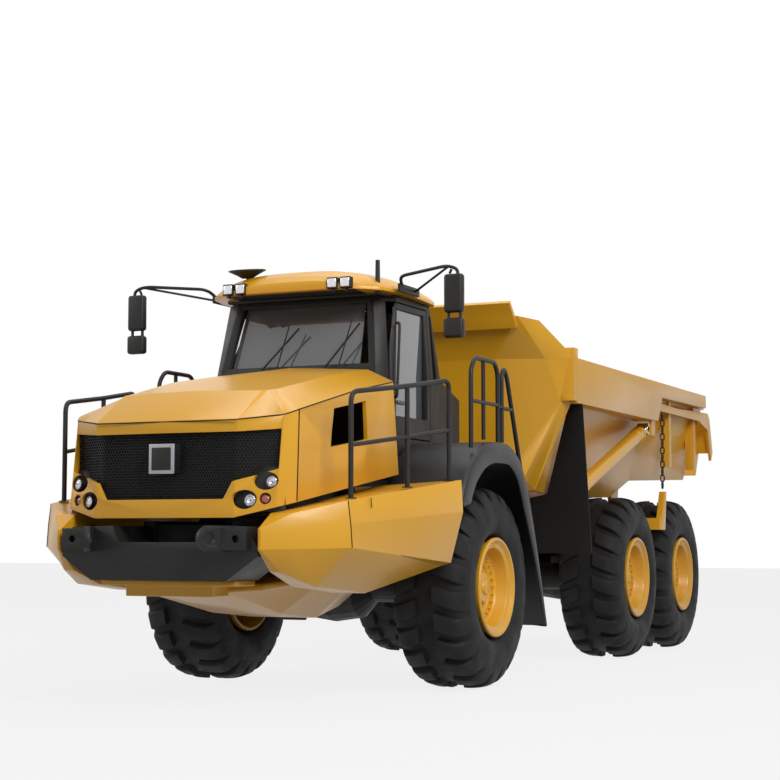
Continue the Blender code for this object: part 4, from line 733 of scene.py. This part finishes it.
def handrails(side_name, side):
    """Tubes along the same lines as the CAD rails, with bent corners and flanged feet."""
    def place(*points):
        return at(*mirrored(points, side))
    front = Skin()
    # x, y, foot z, top z of each post
    posts = ((1.36, -2.50, 1.672, 2.52), (1.50, -1.72, 1.776, 2.62), (1.60, -1.06, 1.857, 2.72))
    feet = [(x, y, foot) for x, y, foot, top in posts]
    tops = [(x, y, top) for x, y, foot, top in posts]
    tube(front, soften(place(feet[0], tops[0], tops[1], tops[2], feet[2]), 0.09, 8), 0.021, 14)
    tube(front, place(feet[1], tops[1]), 0.021, 14)
    tube(front, place(*[(x, y, (foot + top) / 2) for x, y, foot, top in posts]), 0.018, 12)
    for foot in feet:
        turned(front, [(0, 0.045), (0.008, 0.045), (0.01, 0.03)], place(foot)[0], (0, 0, 1), 16, False)
    front.piece("handrail_front_tubes_" + side_name, CHARCOAL, "root", "charcoal_paint",
                "handrail_front_" + side_name)
    flank = Skin()
    x = 1.62
    tube(flank, soften(place((x, -0.60, 2.16), (x, -0.60, 2.86), (x, -0.50, 2.97), (x, -0.02, 2.97),
                             (x, 0.06, 2.88),
                             (x, 0.06, 2.24)), 0.06, 6), 0.021, 14)
    tube(flank, place((x, -0.30, 2.245), (x, -0.30, 2.97)), 0.019, 12)
    tube(flank, place((x, -0.60, 2.58), (x, 0.06, 2.58)), 0.018, 12)
    tube(flank, soften(place((x, 0.16, 2.24), (x, 0.16, 2.86), (x, 0.22, 2.94), (x, 0.30, 2.86),
                             (x, 0.66, 2.00)),
                       0.06, 6), 0.021, 14)
    tube(flank, place((x, 0.14, 2.56), (x, 0.42, 2.56)), 0.018, 12)
    tube(flank, place((x, 0.04, 2.58), (x, 0.18, 2.56)), 0.017, 12)
    flank.piece("handrail_side_tubes_" + side_name, CHARCOAL, "root", "charcoal_paint",
                "handrail_side_" + side_name)


# ---------------------------------------------------------------- fenders
def fender(side_name, side):
    """A folded section carried along the wheel arch: a skin above, a band outside and a rolled lip."""
    outline = np.array([(-1.00, 1.66), (-0.92, 1.82), (-0.78, 2.0), (-0.52, 2.165), (-0.25, 2.232),
                        (0.0, 2.234),
                        (0.22, 2.23), (0.50, 2.09), (0.70, 1.80), (0.84, 1.48), (0.98, 1.15), (1.20, 0.53)])
    fine = np.linspace(0, len(outline) - 1, 90)
    path = np.stack([np.interp(fine, np.arange(len(outline)), outline[:, k]) for k in (0, 1)], -1)
    for _ in range(12):
        path[1:-1] = (path[:-2] + 2 * path[1:-1] + path[2:]) / 4
    along = np.gradient(path, axis=0)
    along /= np.linalg.norm(along, axis=1)[:, None]
    outward = np.stack([-along[:, 1], along[:, 0]], -1)
    outward *= np.sign(outward[45][1])
    share = np.linspace(0, 1, 90)[:, None]
    band = 0.13 * np.clip(np.minimum(share / 0.05, (1 - share) / 0.25), 0, 1) + 0.02
    # across, depth below the outer skin, as a share of the band for the outer wall
    section = [(0.935, 0.0, 0), (1.64, 0.0, 0), (1.672, 0.006, 0), (1.69, 0.022, 0), (1.697, 0.05, 0),
               (1.697, 0.0, 1), (1.690, 0.012, 1), (1.678, 0.012, 1), (1.672, 0.0, 1), (1.666, 0.055, 0),
               (1.64, 0.035, 0), (0.935, 0.035, 0)]
    x = np.array([s[0] for s in section])[None]
    depth = np.array([s[1] for s in section])[None] + np.array([s[2] for s in section])[None] * (band + 0.03)
    y = path[:, 0][:, None] - outward[:, 0][:, None] * depth
    z = path[:, 1][:, None] - outward[:, 1][:, None] * depth
    points = np.stack([side * np.broadcast_to(x, y.shape), y + AXLE_Y, z], -1)
    skin = Skin().grid(points, round_v=True, caps=True)
    low, high = sorted((side * 0.9005, side * 0.96))
    block(skin, (low, -0.45, 1.885), (high, 0.30, 1.955), 0.01)
    skin.piece("fender_skin_" + side_name, FENDER, "root", "charcoal_paint", "fender_" + side_name, smooth=40)


# ---------------------------------------------------------------- cylinders and chains
def cylinders(side_name, side):
    """Hoist barrels with gland and foot rings, rods with eyes."""
    x = side * 1.49
    base, top = at((x, 2.76, 1.87), (x, 5.26, 2.66))
    along = (top - base) / np.linalg.norm(top - base)
    reach = 2.44
    barrel = Skin()
    turned(barrel, [(0.065, 0.02), (0.065, 0.06), (0.09, 0.086), (0.16, 0.088), (0.165, 0.082),
                    (reach - 0.22, 0.082), (reach - 0.215, 0.0875), (reach - 0.12, 0.0875),
                    (reach - 0.115, 0.08),
                    (reach - 0.06, 0.08), (reach - 0.055, 0.0875), (reach - 0.005, 0.0875), (reach, 0.082),
                    (reach, 0.058), (0.14, 0.058), (0.12, 0.02)], base, along, 48)
    port = base + along * 0.30
    turned(barrel, [(0.06, 0.03), (0.115, 0.03), (0.12, 0.02)], port, (0, -along[2], along[1]), 16, False)
    barrel.piece("hoist_barrel_skin_" + side_name, YELLOW, "hoist_barrel_" + side_name, "yellow_paint",
                 "hoist_barrel_" + side_name)
    rod = Skin()
    length = np.linalg.norm(top - base)
    turned(rod, [(0.13, 0.05), (0.14, 0.055), (length - 0.05, 0.055), (length - 0.03, 0.05)], base, along,
           32, False)
    turned(rod, [(-0.068, 0.03), (-0.068, 0.066), (-0.06, 0.07), (0.06, 0.07), (0.068, 0.066),
                 (0.068, 0.03)], top,
           (1, 0, 0), 32)
    rod.piece("hoist_rod_skin_" + side_name, CHROME, "hoist_rod_" + side_name, "chrome",
              "hoist_rod_" + side_name)


def chain(side_name):
    """Oval links, each a closed tube round a stadium line, turned a quarter from the last."""
    x = float(middle_of("gate_chain_" + side_name)[0])
    start, end = at((x, 5.62, 1.95), (x, 5.657, 2.885))
    length = np.linalg.norm(end - start)
    along = (end - start) / length
    link, wire = 0.098, 0.0105
    inner = link - 2 * wire
    count = int((length - link) / inner) + 1
    pitch = (length - link) / (count - 1)
    turn = np.linspace(0, 2 * np.pi, 20, endpoint=False)
    skin = Skin()
    for number in range(count):
        centre = start + along * (link / 2 + number * pitch)
        across = np.array((1.0, 0, 0)) if number % 2 else np.cross(along, (1.0, 0, 0))
        half = 0.022
        straight = link / 2 - wire - half
        path = (centre + half * np.cos(turn)[:, None] * across
                + (half * np.sin(turn) + straight * np.sign(np.sin(turn)))[:, None] * along)
        normal = np.cross(along, across)
        middle = path - centre
        out = middle / np.linalg.norm(middle, axis=1)[:, None]
        ring = np.linspace(0, 2 * np.pi, 8, endpoint=False)
        points = (path[:, None] + wire * np.cos(ring)[None, :, None] * out[:, None]
                  + wire * np.sin(ring)[None, :, None] * normal)
        skin.grid(points, round_u=True, round_v=True)
    skin.piece("chain_links_" + side_name, CHAIN_STEEL, "gate_chain_" + side_name, "steel",
               "gate_chain_" + side_name)


# ---------------------------------------------------------------- driver's seat
def cushion(name, low, high, crown, nodes=()):
    """A crowned cushion with a welt: a ball pushed towards a box by powers, its sides pulled in.

    Each direction's cosines are raised to a power below one, which squares the ball.  The sides
    then draw in towards the middle of each edge, and the middle line swells into a welt."""
    low, high = at(low)[0], at(high)[0]
    half = (high - low) / 2
    lift = np.linspace(-np.pi / 2, np.pi / 2, 41)[:, None]
    turn = np.linspace(0, 2 * np.pi, 80, endpoint=False)[None]
    x = np.sign(np.cos(turn)) * np.abs(np.cos(turn)) ** 0.35 * np.abs(np.cos(lift)) ** 0.45
    y = np.sign(np.sin(turn)) * np.abs(np.sin(turn)) ** 0.35 * np.abs(np.cos(lift)) ** 0.45
    z = np.sign(np.sin(lift)) * np.abs(np.sin(lift)) ** 0.8 * np.ones_like(turn)
    ball = np.stack([x, y, z], -1)
    thin = int(np.argmin(half))
    ball = np.roll(ball, thin - 2, axis=-1)
    flat = [axis for axis in range(3) if axis != thin]
    first, second = ball[..., flat[0]], ball[..., flat[1]]
    welt = 0.03 * np.exp(-(ball[..., thin] / 0.10) ** 2)
    pull = crown * (1 - np.minimum(np.abs(first), np.abs(second)) ** 2)
    scale = (1 - 0.03 - pull + welt)[..., None] * np.ones(3)
    scale[..., thin] = 1 - 0.25 * (first ** 4 + second ** 4) / 2
    made = Skin().grid((low + high) / 2 + ball * scale * half, round_v=True, caps=True)
    made = made.piece(name, CLOTH, "root", "seat_fabric", *nodes, smooth=60)


def seat():
    """Seat, back and headrest cushions on a plain base."""
    cushion("seat_cushion", (-0.25, -0.33, 2.335), (0.25, 0.13, 2.465), 0.05, ("driver_seat",))
    cushion("seat_back", (-0.23, 0.055, 2.47), (0.23, 0.165, 3.07), 0.05)
    cushion("seat_headrest", (-0.125, 0.075, 3.085), (0.125, 0.145, 3.25), 0.03)
    base = Skin()
    block(base, (-0.17, -0.25, 2.045), (0.17, 0.09, 2.33), 0.03)
    base.piece("seat_base", CHARCOAL, "root", "charcoal_paint")


# ---------------------------------------------------------------- panel seams and small marks
def seams():
    """Dark joints between panels: thin tubes half sunk in the skin."""
    for side_name, side in SIDES:
        def place(*points):
            return at(*mirrored(points, side))
        skin = Skin()
        shoulder = [(0.657, -3.068, 2.285), (0.968, -2.882, 2.325), (1.030, -2.75, 2.372),
                    (1.028, -1.75, 2.595),
                    (0.984, -0.87, 2.744)]
        tube(skin, soften(place(*shoulder), 0.03), 0.0045, 6)
        tube(skin, place((1.031, -2.75, 2.372), (1.034, -2.79, 1.65)), 0.0045, 6)
        skin.piece("hood_seams_" + side_name, SHEET_RUBBER, "hood", "rubber")
    front = Skin()
    tube(front, at((-0.657, -3.083, 2.28), (0.657, -3.083, 2.28)), 0.0045, 6)
    front.piece("hood_seam_front", SHEET_RUBBER, "hood", "rubber")
    for side_name, side in SIDES:
        skin = Skin()
        tube(skin, at(*mirrored(((1.401, -2.63, 1.652), (1.424, -2.63, 1.47), (1.437, -2.63, 1.29)), side)),
             0.004, 6)
        tube(skin, at(*mirrored(((1.47, -2.36, 1.682), (1.478, -2.36, 1.60)), side)), 0.004, 6)
        skin.piece("wing_seams_" + side_name, SHEET_RUBBER, "root", "rubber")


for side_name, side in SIDES:
    mirror(side_name, side)
    handrails(side_name, side)
    fender(side_name, side)
    cylinders(side_name, side)
    chain(side_name)
seat()
seams()


# ---------------------------------------------------------------- stage, light and camera
FLOOR_WHITE = 0.84              # share of plain white in what the camera sees of the floor
FLOOR_HALF_SIZE = 60.0
FLOOR_DROP = 0.001              # below the tyres
WORLD_LEVEL = 0.32
CAMERA_PLACE = (7.297, -14.743, 1.365)           # from the front axle
CAMERA_LENS = 79.5
CAMERA_RISE = math.radians(4.9)
CAMERA_TURN = math.radians(24.57)


def pale_floor():
    """White vinyl sweep: a plain matt surface whose lit part reads as white to the camera.

    Its colour is matt grey-white to light on the object.  To the camera, and in gloss and
    glass, FLOOR_WHITE of it is a plain white emission of strength 1, so the shadow stays soft."""
    material = bpy.data.materials.new("pale_floor")
    material.use_nodes = True
    tree = material.node_tree
    shader = tree.nodes["Principled BSDF"]
    shader.inputs["Base Color"].default_value = linear("A4A4A4")
    shader.inputs["Roughness"].default_value = 0.95
    white = add(tree, "ShaderNodeEmission", {"Color": (1, 1, 1, 1), "Strength": 1.0})
    rays = add(tree, "ShaderNodeLightPath")
    seen = add(tree, "ShaderNodeMath", {0: rays.outputs["Is Camera Ray"], 1: rays.outputs["Is Glossy Ray"]},
               operation="MAXIMUM")
    through = add(tree, "ShaderNodeMath", {0: seen.outputs["Value"], 1: rays.outputs["Is Transmission Ray"]},
                  operation="MAXIMUM")
    share = add(tree, "ShaderNodeMath", {0: through.outputs["Value"], 1: FLOOR_WHITE}, operation="MULTIPLY")
    both = add(tree, "ShaderNodeMixShader", {0: share.outputs["Value"], 1: shader.outputs["BSDF"],
                                             2: white.outputs["Emission"]})
    tree.links.new(both.outputs["Shader"], tree.nodes["Material Output"].inputs["Surface"])
    return material


def stage():
    size = FLOOR_HALF_SIZE
    mesh = bpy.data.meshes.new("floor")
    corners = [(-size, -size), (size, -size), (size, size), (-size, size)]
    mesh.from_pydata([(x, y, -FLOOR_DROP) for x, y in corners], [], [(0, 1, 2, 3)])
    mesh.materials.append(pale_floor())
    floor = bpy.data.objects.new("floor", mesh)
    bpy.context.scene.collection.objects.link(floor)
    world = bpy.data.worlds.new("studio")
    world.use_nodes = True
    tree = world.node_tree
    background = tree.nodes["Background"]
    rays = add(tree, "ShaderNodeLightPath")
    clear = add(tree, "ShaderNodeMath", {0: rays.outputs["Is Camera Ray"],
                                         1: rays.outputs["Is Transmission Ray"]}, operation="MAXIMUM")
    seen = add(tree, "ShaderNodeMath", {0: clear.outputs["Value"], 1: rays.outputs["Is Glossy Ray"]},
               operation="MAXIMUM")
    colour = add(tree, "ShaderNodeMix", {"Factor": seen.outputs["Value"], "A": linear("DADDE2"),
                                         "B": (1, 1, 1, 1)}, data_type="RGBA")
    level = add(tree, "ShaderNodeMix", {"Factor": seen.outputs["Value"], "A": WORLD_LEVEL, "B": 1.0},
                data_type="FLOAT")
    tree.links.new(colour.outputs["Result"], background.inputs["Color"])
    tree.links.new(level.outputs["Result"], background.inputs["Strength"])
    bpy.context.scene.world = world


def lamp_panel(name, place, target, size, power):
    light = bpy.data.lights.new(name, "AREA")
    light.shape = "RECTANGLE"
    light.size = size[0]
    light.size_y = size[1]
    light.energy = power
    made = bpy.data.objects.new(name, light)
    made.location = place
    made.rotation_euler = (Vector(target) - Vector(place)).to_track_quat("-Z", "Y").to_euler()
    bpy.context.scene.collection.objects.link(made)


def camera():
    """Low, ahead and to the left, as the truck is seen; long lens."""
    data = bpy.data.cameras.new("camera")
    data.lens = CAMERA_LENS
    data.sensor_width = 36.0
    data.clip_end = 200.0
    made = bpy.data.objects.new("camera", data)
    made.location = at(CAMERA_PLACE)[0]
    made.rotation_euler = (math.pi / 2 + CAMERA_RISE, 0, CAMERA_TURN)
    bpy.context.scene.collection.objects.link(made)
    bpy.context.scene.camera = made


stage()
# name, place, what it faces, sides, watts
PANELS = (
    ("key", (13.0, -12.0, 12.0), (0, -2, 1.5), (7, 7), 2300),
    ("fill", (-12.0, -9.0, 9.0), (0, -2, 1.5), (9, 7), 450),
    ("top", (0.0, 1.0, 14.0), (0, 0, 1), (12, 8), 500),
)
for panel in PANELS:
    lamp_panel(*panel)
camera()
bpy.context.scene.view_settings.view_transform = "Standard"
